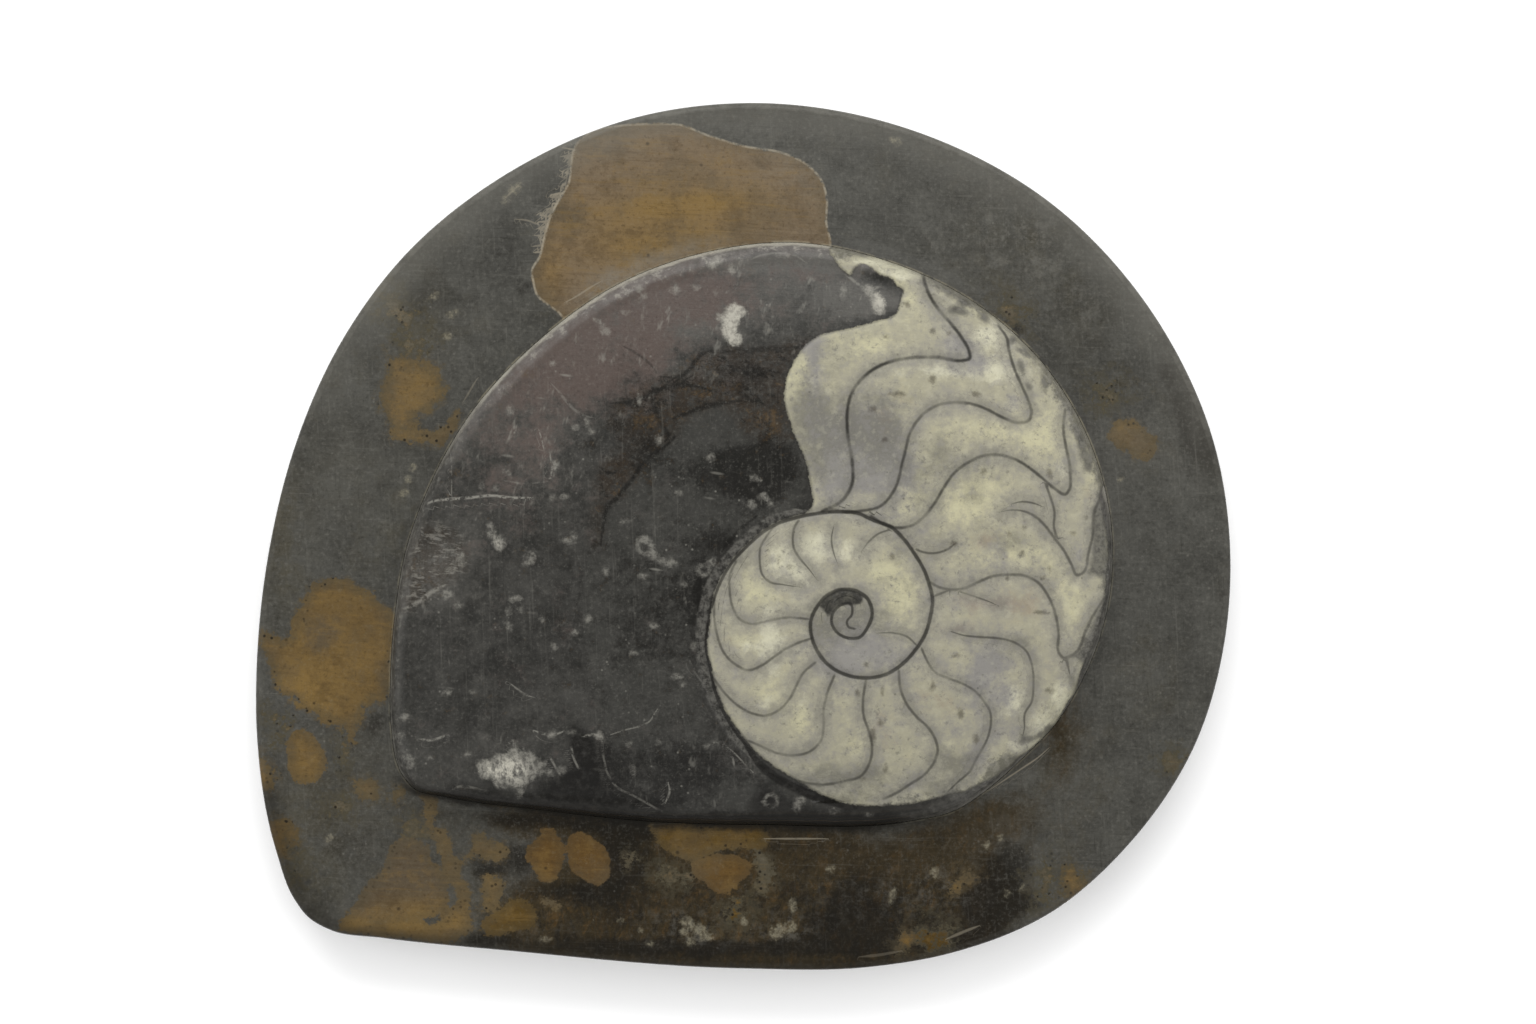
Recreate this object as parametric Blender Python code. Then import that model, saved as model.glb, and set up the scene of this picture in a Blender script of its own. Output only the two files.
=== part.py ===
"""A polished limestone plaque with a coiled, chambered fossil standing up out of it in low relief.

Two separate solids, in metres with +Z up and the origin at the middle of the sawn base:

    stone_slab   the dark limestone matrix: flat base, ground sides, a rim that falls away outwards,
                 and a shallow pocket that the fossil sits in
    fossil       the domed, polished specimen, with the groove that parts one whorl from the next

Both are turned round one hub, the middle of the coil, and then fitted to their hand-drawn outlines.
"""

import math

import bmesh
import bpy
import numpy as np
from mathutils import Vector

MM = 0.001

# Driving dimensions, in millimetres
SIDE_HEIGHT = 11.7          # ground side, from the base to the start of the edge bevel
EDGE_BEVEL = 0.8            # bevel round the rim's outer edge
BASE_BEVEL = 0.5            # arris taken off round the base
RIM_FOOT_HEIGHT = 16.0      # the rim where it meets the foot of the fossil
POCKET_FLOOR = 13.0         # floor of the pocket under the fossil
SEAM = 0.3                  # clear gap between the fossil and its pocket
FOSSIL_EDGE_HEIGHT = 19.4   # top of the fossil's steep edge
FOSSIL_CROWN_HEIGHT = 25.0  # crown of the dome, over the hub
EDGE_RUN = 1.7              # how far the fossil's edge leans in, from foot to top
LOW_SIDE_RUN = 1.7          # what the lean gains on the side towards -Y
DOME_POWER = 2.3            # 2 is a parabola, more is flatter on top

STATIONS = 128              # points round each outline
CURVE_SAMPLES = 40          # steps between two knots of an outline
DOME_STEPS = (0.95, 0.87, 0.77, 0.65, 0.52, 0.39, 0.26, 0.13)
EDGE_STEPS = ((0.0, 0.0), (0.1, 0.42), (0.38, 0.8), (1.0, 1.0))   # (lean, rise) from foot to top

HUB = (15.2, -10.9)         # middle of the coil

SLAB_OUTLINE = (
    (-52.0, -57.8), (-59.3, -56.7), (-62.5, -54.9), (-64.6, -52.2), (-67.2, -45.3), (-70.0, -28.0),
    (-70.0, -18.6), (-68.2, -1.9), (-64.2, 13.8), (-58.1, 27.5), (-48.7, 40.4), (-34.4, 51.9),
    (-15.2, 60.3), (2.4, 62.3), (23.1, 58.8), (44.4, 47.8), (60.5, 29.6), (67.7, 13.5),
    (70.0, -0.6), (69.3, -14.9), (65.0, -30.0), (55.6, -44.2), (44.2, -54.2), (29.9, -60.0),
    (18.2, -62.0), (-0.5, -62.2), (-34.3, -59.6),
)

FOSSIL_OUTLINE = (
    (-48.9, -34.2), (-50.5, -27.1), (-50.6, -21.0), (-50.0, -11.8), (-48.2, -1.4), (-45.0, 7.2),
    (-38.8, 18.0), (-29.5, 27.9), (-17.4, 36.4), (-6.2, 40.5), (7.6, 42.1), (21.7, 39.1),
    (32.1, 34.2), (43.3, 24.4), (50.8, 10.6), (53.0, -1.6), (52.0, -11.5), (48.7, -20.5),
    (44.5, -27.3), (39.9, -32.0), (35.2, -36.2), (30.5, -39.3), (23.8, -40.9), (2.8, -41.4),
    (-13.7, -40.9), (-28.8, -39.3), (-42.6, -37.4), (-47.2, -36.2),
)

# The groove between the whorls, from where it leaves the fossil's low edge to the middle: x, y, tool radius
WHORL_GROOVE = (
    (20.0, -40.0, 1.0), (11.6, -37.8, 1.0), (6.7, -35.3, 1.0), (1.2, -31.3, 1.0), (-2.9, -25.9, 1.0),
    (-5.1, -20.5, 1.0), (-5.5, -15.2, 0.95), (-4.2, -9.6, 0.85), (-2.0, -4.4, 0.7), (2.2, 0.4, 0.58),
    (7.7, 2.8, 0.52), (13.9, 3.5, 0.5), (18.5, 2.3, 0.5), (22.9, -0.4, 0.5), (25.7, -4.6, 0.5),
    (27.0, -8.8, 0.48), (25.9, -13.9, 0.48), (22.5, -18.4, 0.46), (17.1, -20.2, 0.46), (11.9, -18.1, 0.44),
    (9.7, -13.9, 0.42), (10.6, -9.9, 0.4), (14.1, -7.6, 0.38), (17.8, -9.2, 0.36), (18.2, -12.9, 0.34),
    (14.9, -14.5, 0.32), (12.7, -12.2, 0.3), (14.1, -9.8, 0.28), (15.7, -9.9, 0.26),
)

SLAB_COLOUR = (0.067, 0.063, 0.055, 1.0)
FOSSIL_COLOUR = (0.36, 0.34, 0.25, 1.0)


def smooth_loop(knots, samples=CURVE_SAMPLES):
    """A closed cubic curve through the knots, as an array of points."""
    knot = np.array(knots, float)
    before, after = np.roll(knot, 1, axis=0), np.roll(knot, -1, axis=0)
    length_in = np.linalg.norm(knot - before, axis=1)[:, None]
    length_out = np.linalg.norm(after - knot, axis=1)[:, None]
    slope = (after - knot) / length_out * length_in + (knot - before) / length_in * length_out
    slope /= length_in + length_out
    t = (np.arange(samples) / samples)[None, :, None]
    start, end = knot[:, None], after[:, None]
    leave, arrive = (slope * length_out)[:, None], (np.roll(slope, -1, axis=0) * length_out)[:, None]
    points = (2 * t**3 - 3 * t**2 + 1) * start + (t**3 - 2 * t**2 + t) * leave
    points = points + (3 * t**2 - 2 * t**3) * end + (t**3 - t**2) * arrive
    return points.reshape(-1, 2)


class Outline:
    """A closed outline, read as a distance from the hub in each direction."""

    def __init__(self, knots):
        arm = smooth_loop(knots) - np.array(HUB)
        angle = np.arctan2(arm[:, 1], arm[:, 0]) % math.tau
        order = np.argsort(angle)
        self.angles = angle[order]
        self.radii = np.linalg.norm(arm, axis=1)[order]

    def radius(self, angle):
        """Distance from the hub to the outline at an angle or an array of angles."""
        return np.interp(np.asarray(angle) % math.tau, self.angles, self.radii, period=math.tau)


SLAB = Outline(SLAB_OUTLINE)
FOSSIL = Outline(FOSSIL_OUTLINE)


def station_angles():
    """Angles for the points round both outlines, closer together where either outline turns sharply."""
    angle = np.linspace(0.0, math.tau, 7201)
    weight = np.zeros(len(angle) - 1)
    for outline in (SLAB, FOSSIL):
        radius = outline.radius(angle)
        step = np.diff(np.column_stack((radius * np.cos(angle), radius * np.sin(angle))), axis=0)
        heading = np.unwrap(np.arctan2(step[:, 1], step[:, 0]))
        length = np.linalg.norm(step, axis=1)
        weight += length / length.sum() + np.abs(np.diff(heading, append=heading[0] + math.tau)) / math.tau
    passed = np.concatenate(([0.0], np.cumsum(weight)))
    return np.interp(np.arange(STATIONS) / STATIONS * passed[-1], passed, angle)


def edge_run(angle):
    """How far the fossil's edge leans in at an angle: more on the low side."""
    return EDGE_RUN + LOW_SIDE_RUN * max(0.0, -math.sin(angle))


def dome_height(share):
    """Height of the dome at a share of the way from the hub to the top of its edge."""
    return FOSSIL_EDGE_HEIGHT + (FOSSIL_CROWN_HEIGHT - FOSSIL_EDGE_HEIGHT) * (1.0 - share**DOME_POWER)


def fossil_height(x, y):
    """Height of the fossil's domed top over a point of the plan."""
    angle = math.atan2(y - HUB[1], x - HUB[0])
    top_radius = float(FOSSIL.radius(angle)) - edge_run(angle)
    return dome_height(min(1.0, math.hypot(x - HUB[0], y - HUB[1]) / top_radius))


def slab_section(angle):
    """The slab's section at an angle, as (radius, height) from the middle of its base to its pocket's middle."""
    outside = float(SLAB.radius(angle))
    pocket = float(FOSSIL.radius(angle)) + SEAM
    rim_top = SIDE_HEIGHT + EDGE_BEVEL
    middle = (outside - EDGE_BEVEL + pocket) / 2
    return [
        (0.0, 0.0),
        (outside - BASE_BEVEL, 0.0),
        (outside, BASE_BEVEL),
        (outside, SIDE_HEIGHT),
        (outside - EDGE_BEVEL, rim_top),
        (middle, (rim_top + RIM_FOOT_HEIGHT) / 2),
        (pocket, RIM_FOOT_HEIGHT),
        (pocket, POCKET_FLOOR),
        (0.0, POCKET_FLOOR),
    ]


def fossil_section(angle):
    """The fossil's section at an angle, as (radius, height) from the middle of its underside to its crown."""
    outside = float(FOSSIL.radius(angle))
    run = edge_run(angle)
    rise = FOSSIL_EDGE_HEIGHT - RIM_FOOT_HEIGHT
    under = POCKET_FLOOR + SEAM
    section = [(0.0, under), (outside, under)]
    section += [(outside - lean * run, RIM_FOOT_HEIGHT + share * rise) for lean, share in EDGE_STEPS]
    section += [((outside - run) * step, dome_height(step)) for step in DOME_STEPS]
    section.append((0.0, FOSSIL_CROWN_HEIGHT))
    return section


def new_object(name, mesh, collection, material=None):
    """An object for a mesh, in a collection, with its material."""
    thing = bpy.data.objects.new(name, mesh)
    collection.objects.link(thing)
    if material:
        mesh.materials.append(material)
    return thing


def stone_material(name, colour, roughness):
    """A polished stone as a Principled BSDF."""
    material = bpy.data.materials.new(name)
    material.use_nodes = True
    shader = material.node_tree.nodes["Principled BSDF"]
    shader.inputs["Base Color"].default_value = colour
    shader.inputs["Roughness"].default_value = roughness
    shader.inputs["Metallic"].default_value = 0.0
    return material


def turned_body(name, section_at):
    """Spin a plain profile once round the hub, then move each of its points to the section at its station."""
    count = len(section_at(0.0))
    bm = bmesh.new()
    chain = [bm.verts.new((float(min(k, 1)) if k < count - 1 else 0.0, 0.0, float(k))) for k in range(count)]
    links = [bm.edges.new(pair) for pair in zip(chain, chain[1:])]
    bmesh.ops.spin(
        bm, geom=chain + links, cent=(0, 0, 0), axis=(0, 0, 1), angle=math.tau, steps=STATIONS, use_merge=True
    )
    bmesh.ops.remove_doubles(bm, verts=bm.verts, dist=0.001)
    angles = station_angles()
    sections = [section_at(angle) for angle in angles]
    for vert in bm.verts:
        turn = math.atan2(vert.co.y, vert.co.x) % math.tau
        station = round(turn / math.tau * STATIONS) % STATIONS
        radius, height = sections[station][round(vert.co.z)]
        direction = Vector((math.cos(angles[station]), math.sin(angles[station]), 0.0))
        vert.co = (Vector((HUB[0], HUB[1], height)) + direction * radius) * MM
    bmesh.ops.recalc_face_normals(bm, faces=bm.faces)
    mesh = bpy.data.meshes.new(name)
    bm.to_mesh(mesh)
    bm.free()
    return mesh


def finish_shading(mesh, angle=35.0):
    """Shade a mesh smooth and keep its arrises crisp."""
    mesh.shade_smooth()
    mesh.set_sharp_from_angle(angle=math.radians(angle))


def groove_cutter(collection):
    """A tapering tube that follows the seam between the whorls, sunk in the dome to its middle."""
    curve = bpy.data.curves.new("whorl_groove_cutter", "CURVE")
    curve.dimensions = "3D"
    curve.bevel_depth = MM
    curve.bevel_resolution = 1
    curve.resolution_u = 4
    curve.use_fill_caps = True
    spline = curve.splines.new("BEZIER")
    spline.bezier_points.add(len(WHORL_GROOVE) - 1)
    for point, (x, y, radius) in zip(spline.bezier_points, WHORL_GROOVE):
        point.co = Vector((x, y, fossil_height(x, y))) * MM
        point.radius = radius
        point.handle_left_type = point.handle_right_type = "AUTO"
    source = new_object("whorl_groove_path", curve, collection)
    evaluated = source.evaluated_get(bpy.context.evaluated_depsgraph_get())
    mesh = bpy.data.meshes.new_from_object(evaluated)
    bpy.data.objects.remove(source)
    bm = bmesh.new()
    bm.from_mesh(mesh)
    bmesh.ops.remove_doubles(bm, verts=bm.verts, dist=0.000001)
    bmesh.ops.recalc_face_normals(bm, faces=bm.faces)
    bm.to_mesh(mesh)
    bm.free()
    cutter = new_object("whorl_groove_cutter", mesh, collection)
    cutter.hide_render = True
    cutter.display_type = "WIRE"
    return cutter


def new_collection(name):
    """A collection in the scene."""
    collection = bpy.data.collections.new(name)
    bpy.context.scene.collection.children.link(collection)
    return collection


def make_slab(collection):
    """The limestone slab, with its sloping rim and its pocket."""
    mesh = turned_body("stone_slab", slab_section)
    finish_shading(mesh)
    return new_object("stone_slab", mesh, collection, stone_material("polished limestone", SLAB_COLOUR, 0.45))


def make_fossil(collection, cutters):
    """The domed fossil, with the whorl groove cut in its top."""
    mesh = turned_body("fossil", fossil_section)
    finish_shading(mesh)
    fossil = new_object("fossil", mesh, collection, stone_material("fossil calcite", FOSSIL_COLOUR, 0.4))
    cut = fossil.modifiers.new("whorl groove", "BOOLEAN")
    cut.operation = "DIFFERENCE"
    cut.solver = "EXACT"
    cut.object = groove_cutter(cutters)
    return fossil


def main():
    """Clear the scene and make both stones."""
    for thing in list(bpy.data.objects):
        bpy.data.objects.remove(thing)
    parts = new_collection("fossil_plaque")
    cutters = new_collection("cutters")
    make_slab(parts)
    make_fossil(parts, cutters)


main()
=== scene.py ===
"""Looks of a polished limestone plaque with a coiled, chambered fossil standing in relief.

Every length is in millimetres until a mesh is made. The two stones are turned round one hub, the
middle of the coil, and fitted to their outlines. What is drawn on them (sutures, nodules, stains)
is a list of curves and spots, measured at each vertex and kept as attributes for the finishes.
"""
import logging
import math
from dataclasses import dataclass, field
from enum import Enum
from typing import Iterable, Sequence, Union

import bmesh
import bpy
import numpy as np
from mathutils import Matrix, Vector, kdtree, noise


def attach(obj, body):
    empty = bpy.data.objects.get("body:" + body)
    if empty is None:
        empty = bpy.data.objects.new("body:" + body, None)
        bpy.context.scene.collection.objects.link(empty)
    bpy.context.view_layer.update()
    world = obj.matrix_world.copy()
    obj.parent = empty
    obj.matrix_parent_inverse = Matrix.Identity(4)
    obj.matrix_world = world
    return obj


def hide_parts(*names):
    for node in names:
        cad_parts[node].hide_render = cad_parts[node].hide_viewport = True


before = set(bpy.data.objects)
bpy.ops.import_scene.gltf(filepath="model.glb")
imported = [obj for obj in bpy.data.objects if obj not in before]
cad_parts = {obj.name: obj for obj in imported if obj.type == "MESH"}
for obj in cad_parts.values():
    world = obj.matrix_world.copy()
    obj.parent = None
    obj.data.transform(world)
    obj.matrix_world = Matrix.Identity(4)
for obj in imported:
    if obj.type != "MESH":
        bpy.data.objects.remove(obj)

log = logging.getLogger("fossil_plaque")
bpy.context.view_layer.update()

MM = 0.001
Point = tuple[float, float]

# Sizes shared with the solids, in millimetres
SIDE_HEIGHT = 11.7
EDGE_BEVEL = 0.8
BASE_BEVEL = 0.5
RIM_FOOT_HEIGHT = 16.0
POCKET_FLOOR = 13.0
FOSSIL_EDGE_HEIGHT = 19.4
FOSSIL_CROWN_HEIGHT = 25.0
EDGE_RUN = 1.7
LOW_SIDE_RUN = 1.7
DOME_POWER = 2.3
SKIN = 0.04                 # the dressed stones stay this far inside the solids
SEAM = 0.06                 # open seam between the dressed stones
FAR = 6.0                   # distances are measured no further than this
NODULE_TAPER = 0.6          # a nodule draws in by this for each millimetre down the ground side
MARK_DEPTH = 1.5            # drawn marks fade out this far down the ground side
THINNEST = 0.02             # a drawn line is never measured as thinner than this
INK_REACH = 1.4             # a line's strength is gone this far from it
INK_FADE = 0.6              # and fades over this much before that
END_FADE = 0.5              # past its ends it fades over this much
EDGE_SAMPLE = 0.5           # spacing of the samples along a patch's edge
OUTLINE_SAMPLE = 0.15       # spacing of the samples along a stone's outline
WELD = 0.001                # vertices closer than this are made one
BUMP_DEPTH = 0.05           # depth of the grain that only the finishes show
SHARP_EDGE = 50.0           # degrees from which an edge is shaded as sharp
FINEST_GRAIN = 0.12         # octaves of noise under this size are left out
SECTORS = 16                # equal parts in which a stone is turned

# Profile of the fossil's steep edge from its foot to its top: how far in and how far up it has got
EDGE_SHARES = (0.0, 0.35, 0.7, 1.0)
EDGE_INWARD = (0.0, 0.08, 0.36, 1.0)
EDGE_UPWARD = (0.0, 0.42, 0.8, 1.0)

HUB = (15.2, -10.9)

SLAB_OUTLINE: Sequence[Point] = (
    (-52.0, -57.8), (-59.3, -56.7), (-62.5, -54.9), (-64.6, -52.2), (-67.2, -45.3), (-70.0, -28.0),
    (-70.0, -18.6), (-68.2, -1.9), (-64.2, 13.8), (-58.1, 27.5), (-48.7, 40.4), (-34.4, 51.9),
    (-15.2, 60.3), (2.4, 62.3), (23.1, 58.8), (44.4, 47.8), (60.5, 29.6), (67.7, 13.5),
    (70.0, -0.6), (69.3, -14.9), (65.0, -30.0), (55.6, -44.2), (44.2, -54.2), (29.9, -60.0),
    (18.2, -62.0), (-0.5, -62.2), (-34.3, -59.6),
)

FOSSIL_OUTLINE: Sequence[Point] = (
    (-48.9, -34.2), (-50.5, -27.1), (-50.6, -21.0), (-50.0, -11.8), (-48.2, -1.4), (-45.0, 7.2),
    (-38.8, 18.0), (-29.5, 27.9), (-17.4, 36.4), (-6.2, 40.5), (7.6, 42.1), (21.7, 39.1),
    (32.1, 34.2), (43.3, 24.4), (50.8, 10.6), (53.0, -1.6), (52.0, -11.5), (48.7, -20.5),
    (44.5, -27.3), (39.9, -32.0), (35.2, -36.2), (30.5, -39.3), (23.8, -40.9), (2.8, -41.4),
    (-13.7, -40.9), (-28.8, -39.3), (-42.6, -37.4), (-47.2, -36.2),
)


class Tone(Enum):
    """The colour of a nodule's stone."""

    DUSTY = (0.104, 0.076, 0.046)
    WARM = (0.082, 0.053, 0.020)
    RICH = (0.068, 0.038, 0.011)
    PLAIN = (0.080, 0.057, 0.028)
    AMBER = (0.048, 0.028, 0.005)
    SMOKY = (0.062, 0.054, 0.037)
    ASHEN = (0.060, 0.046, 0.029)


# ---------------------------------------------------------------- drawn shapes


def smooth_path(knots: Sequence[Point], closed: bool, step: float = 0.25) -> np.ndarray:
    """Draw a smooth cubic through knots.

    Args:
        knots: Points the curve passes through.
        closed: Whether the curve joins its own start.
        step: Distance between samples.

    Returns:
        Samples along the curve, with the first repeated at the end when closed.
    """
    knot = np.array(knots, float)
    before, after = np.roll(knot, 1, axis=0), np.roll(knot, -1, axis=0)
    if not closed:
        before[0], after[-1] = 2 * knot[0] - knot[1], 2 * knot[-1] - knot[-2]
    length_in = np.linalg.norm(knot - before, axis=1)[:, None]
    length_out = np.linalg.norm(after - knot, axis=1)[:, None]
    slope = (after - knot) / length_out * length_in + (knot - before) / length_in * length_out
    slope /= length_in + length_out
    pieces = []
    for start in range(len(knot) if closed else len(knot) - 1):
        end = (start + 1) % len(knot)
        span = float(length_out[start, 0])
        t = np.arange(max(2, math.ceil(span / step)))[:, None] / max(2, math.ceil(span / step))
        piece = (2 * t**3 - 3 * t**2 + 1) * knot[start] + (t**3 - 2 * t**2 + t) * slope[start] * span
        piece = piece + (3 * t**2 - 2 * t**3) * knot[end] + (t**3 - t**2) * slope[end] * span
        pieces.append(piece)
    pieces.append(knot[:1] if closed else knot[-1:])
    return np.concatenate(pieces)


def measure(points: np.ndarray, path: np.ndarray) -> tuple[np.ndarray, np.ndarray, np.ndarray]:
    """Measure points from a sampled path.

    Args:
        points: The points, one row each.
        path: Samples along the path.

    Returns:
        Each point's distance, its side (+1 to the left, -1 to the right) and its place along the
        path from 0 to 1.
    """
    tree = kdtree.KDTree(len(path))
    for index, (x, y) in enumerate(path.tolist()):
        tree.insert((x, y, 0.0), index)
    tree.balance()
    nearest = np.array([tree.find((x, y, 0.0))[1] for x, y in points.tolist()], int)
    run = np.diff(path, axis=0)
    length = np.maximum(np.linalg.norm(run, axis=1), 1e-6)
    passed = np.concatenate(([0.0], np.cumsum(length)))
    gap, side, place = np.full(len(points), np.inf), np.ones(len(points)), np.zeros(len(points))
    for piece in (np.clip(nearest - 1, 0, len(run) - 1), np.clip(nearest, 0, len(run) - 1)):
        offset = points - path[piece]
        along = np.clip((offset * run[piece]).sum(axis=1) / length[piece]**2, 0.0, 1.0)
        away = np.linalg.norm(offset - along[:, None] * run[piece], axis=1)
        turn = run[piece, 0] * offset[:, 1] - run[piece, 1] * offset[:, 0]
        closer = away < gap
        gap[closer] = away[closer]
        side[closer] = np.where(turn >= 0, 1.0, -1.0)[closer]
        place[closer] = ((passed[piece] + along * length[piece]) / passed[-1])[closer]
    return gap, side, place


def near(points: np.ndarray, path: np.ndarray, reach: float) -> np.ndarray:
    """Which points lie in a path's bounding box, widened by a reach."""
    low, high = path.min(axis=0) - reach, path.max(axis=0) + reach
    return np.flatnonzero(((points >= low) & (points <= high)).all(axis=1))


@dataclass(frozen=True)
class Line:
    """A drawn line: its knots, half width and strength, and how it thins towards its ends."""

    knots: Sequence[Point]
    half: float = 0.2
    strength: float = 1.0
    start: float = 1.0
    end: float = 1.0
    taper: float = 0.15

    def width_at(self, place: np.ndarray) -> np.ndarray:
        """Half width at places along the line, from 0 at its start to 1 at its end.

        Args:
            place: Places along the line.

        Returns:
            The half width at each place.
        """
        lead = self.start + (1.0 - self.start) * np.clip(place / self.taper, 0.0, 1.0)
        trail = self.end + (1.0 - self.end) * np.clip((1.0 - place) / self.taper, 0.0, 1.0)
        return self.half * np.minimum(lead, trail)


def encloses(path: np.ndarray, points: np.ndarray) -> np.ndarray:
    """Which points a closed path goes round, by counting its crossings beside each of them.

    Args:
        path: Samples along the path, with the first repeated at the end.
        points: The points, one row each.

    Returns:
        True for each point inside the path.
    """
    inside = np.zeros(len(points), bool)
    for (x0, y0), (x1, y1) in zip(path[:-1].tolist(), path[1:].tolist()):
        level = (y0 > points[:, 1]) != (y1 > points[:, 1])
        inside[level] ^= points[level, 0] < x0 + (points[level, 1] - y0) * (x1 - x0) / (y1 - y0)
    return inside


@dataclass(frozen=True)
class Area:
    """A closed, smooth patch drawn through its knots."""

    knots: Sequence[Point]

    def inside(self, points: np.ndarray) -> np.ndarray:
        """Distance inside the patch's edge at each point, negative outside it.

        Args:
            points: The points, one row each.

        Returns:
            The distance at each point.
        """
        path = smooth_path(self.knots, closed=True, step=EDGE_SAMPLE)
        depth = np.full(len(points), -FAR)
        rows = near(points, path, FAR)
        if len(rows):
            gap = measure(points[rows], path)[0]
            depth[rows] = np.where(encloses(path, points[rows]), gap, -gap).clip(-FAR, FAR)
        return depth


@dataclass(frozen=True)
class Spot:
    """An oval patch: its middle, its half sizes and its turn in degrees."""

    middle: Point
    half: Point
    turn: float = 0.0

    def reach(self, points: np.ndarray) -> np.ndarray:
        """Distance of each point from the middle, in which the oval's edge is at 1.

        Args:
            points: The points, one row each.

        Returns:
            The distance at each point.
        """
        angle = math.radians(self.turn)
        arm = points - np.array(self.middle)
        across = (arm[:, 0] * math.cos(angle) + arm[:, 1] * math.sin(angle)) / self.half[0]
        along = (arm[:, 1] * math.cos(angle) - arm[:, 0] * math.sin(angle)) / self.half[1]
        return np.hypot(across, along)

    def inside(self, points: np.ndarray) -> np.ndarray:
        """Rough distance inside the oval's edge at each point, negative outside it.

        Args:
            points: The points, one row each.

        Returns:
            The distance at each point.
        """
        reach = self.reach(points)
        away = np.linalg.norm(points - np.array(self.middle), axis=1) / np.maximum(reach, 1.0)
        return np.clip((1.0 - reach) * np.where(reach > 1.0, away, min(self.half)), -FAR, FAR)


Patch = Union[Area, Spot]


@dataclass(frozen=True)
class Nodule:
    """An ochre nodule cut by the face: its patch, how frayed its edge is and its tone."""

    patch: Patch
    fray: float
    tone: Tone
    border: float = 0.0


def ovals(*rows: Sequence[float]) -> tuple[Spot, ...]:
    """Spots from rows of x, y, half length, half width and, where it is turned, degrees."""
    return tuple(Spot((row[0], row[1]), (row[2], row[3]), *row[4:]) for row in rows)


def tints(*rows: Sequence[float]) -> tuple[tuple[Spot, float], ...]:
    """Spots and strengths from rows of x, y, half length, half width, strength and degrees."""
    return tuple((Spot((row[0], row[1]), (row[2], row[3]), *row[5:]), row[4]) for row in rows)


def deepest(points: np.ndarray, patches: Iterable[Patch]) -> np.ndarray:
    """Distance inside the nearest of several patches, negative outside them all.

    Args:
        points: The points, one row each.
        patches: The patches.

    Returns:
        The distance at each point.
    """
    depth = np.full(len(points), -FAR)
    for patch in patches:
        depth = np.maximum(depth, patch.inside(points))
    return depth


def wash(points: np.ndarray, spots: Iterable[tuple[Spot, float]]) -> np.ndarray:
    """A soft field that fades outwards from each spot by its strength, kept between 0 and 1.

    Args:
        points: The points, one row each.
        spots: The spots, each with its strength.

    Returns:
        The field at each point.
    """
    total = np.zeros(len(points))
    for spot, strength in spots:
        total += strength * np.exp(-spot.reach(points) ** 2)
    return np.clip(total, 0.0, 1.0)


def ink(points: np.ndarray, lines: Iterable[Line]) -> tuple[np.ndarray, np.ndarray, np.ndarray]:
    """Measure points from the nearest of several lines.

    Args:
        points: The points, one row each.
        lines: The drawn lines.

    Returns:
        The signed distance over the line's half width, the line's strength, which fades away from
        it and past its ends, and the distance in millimetres.
    """
    signed, gap_mm = np.full(len(points), FAR), np.full(len(points), FAR)
    plain, strength = np.full(len(points), FAR), np.zeros(len(points))
    for line in lines:
        path = smooth_path(line.knots, closed=False)
        rows = near(points, path, FAR / 2)
        if not len(rows):
            continue
        gap, side, place = measure(points[rows], path)
        over = np.minimum(gap / np.maximum(line.width_at(place), THINNEST), FAR)
        closer = over < plain[rows]
        past_end = (place <= 0.0) | (place >= 1.0)
        kept = line.strength * np.clip((INK_REACH - gap) / INK_FADE, 0.0, 1.0)
        kept *= np.where(past_end, np.clip(1.0 - gap / END_FADE, 0.0, 1.0), 1.0)
        signed[rows[closer]] = (over * side)[closer]
        plain[rows[closer]] = over[closer]
        strength[rows[closer]] = kept[closer]
        gap_mm[rows] = np.minimum(gap_mm[rows], gap)
    return signed, strength, gap_mm


# ---------------------------------------------------------------- what is drawn on the fossil

# The groove between the whorls, from the fossil's low edge to the middle: x, y, half width
WHORL_GROOVE = (
    (20.0, -40.0, 1.0), (11.6, -37.8, 1.0), (6.7, -35.3, 1.0), (1.2, -31.3, 1.0), (-2.9, -25.9, 1.0),
    (-5.1, -20.5, 1.0), (-5.5, -15.2, 0.95), (-4.2, -9.6, 0.85), (-2.0, -4.4, 0.7), (2.2, 0.4, 0.5),
    (7.7, 2.8, 0.4), (13.9, 3.5, 0.38), (18.5, 2.3, 0.38), (22.9, -0.4, 0.38), (25.7, -4.6, 0.36),
    (27.0, -8.8, 0.36), (25.9, -13.9, 0.34), (22.5, -18.4, 0.34), (17.1, -20.2, 0.34),
    (11.9, -18.1, 0.34),
    (9.7, -13.9, 0.34), (10.6, -9.9, 0.34), (14.1, -7.6, 0.32), (17.8, -9.2, 0.3), (18.2, -12.9, 0.28),
    (14.9, -14.5, 0.26), (12.7, -12.2, 0.24), (14.1, -9.8, 0.22), (15.3, -9.6, 0.2),
)

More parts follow.
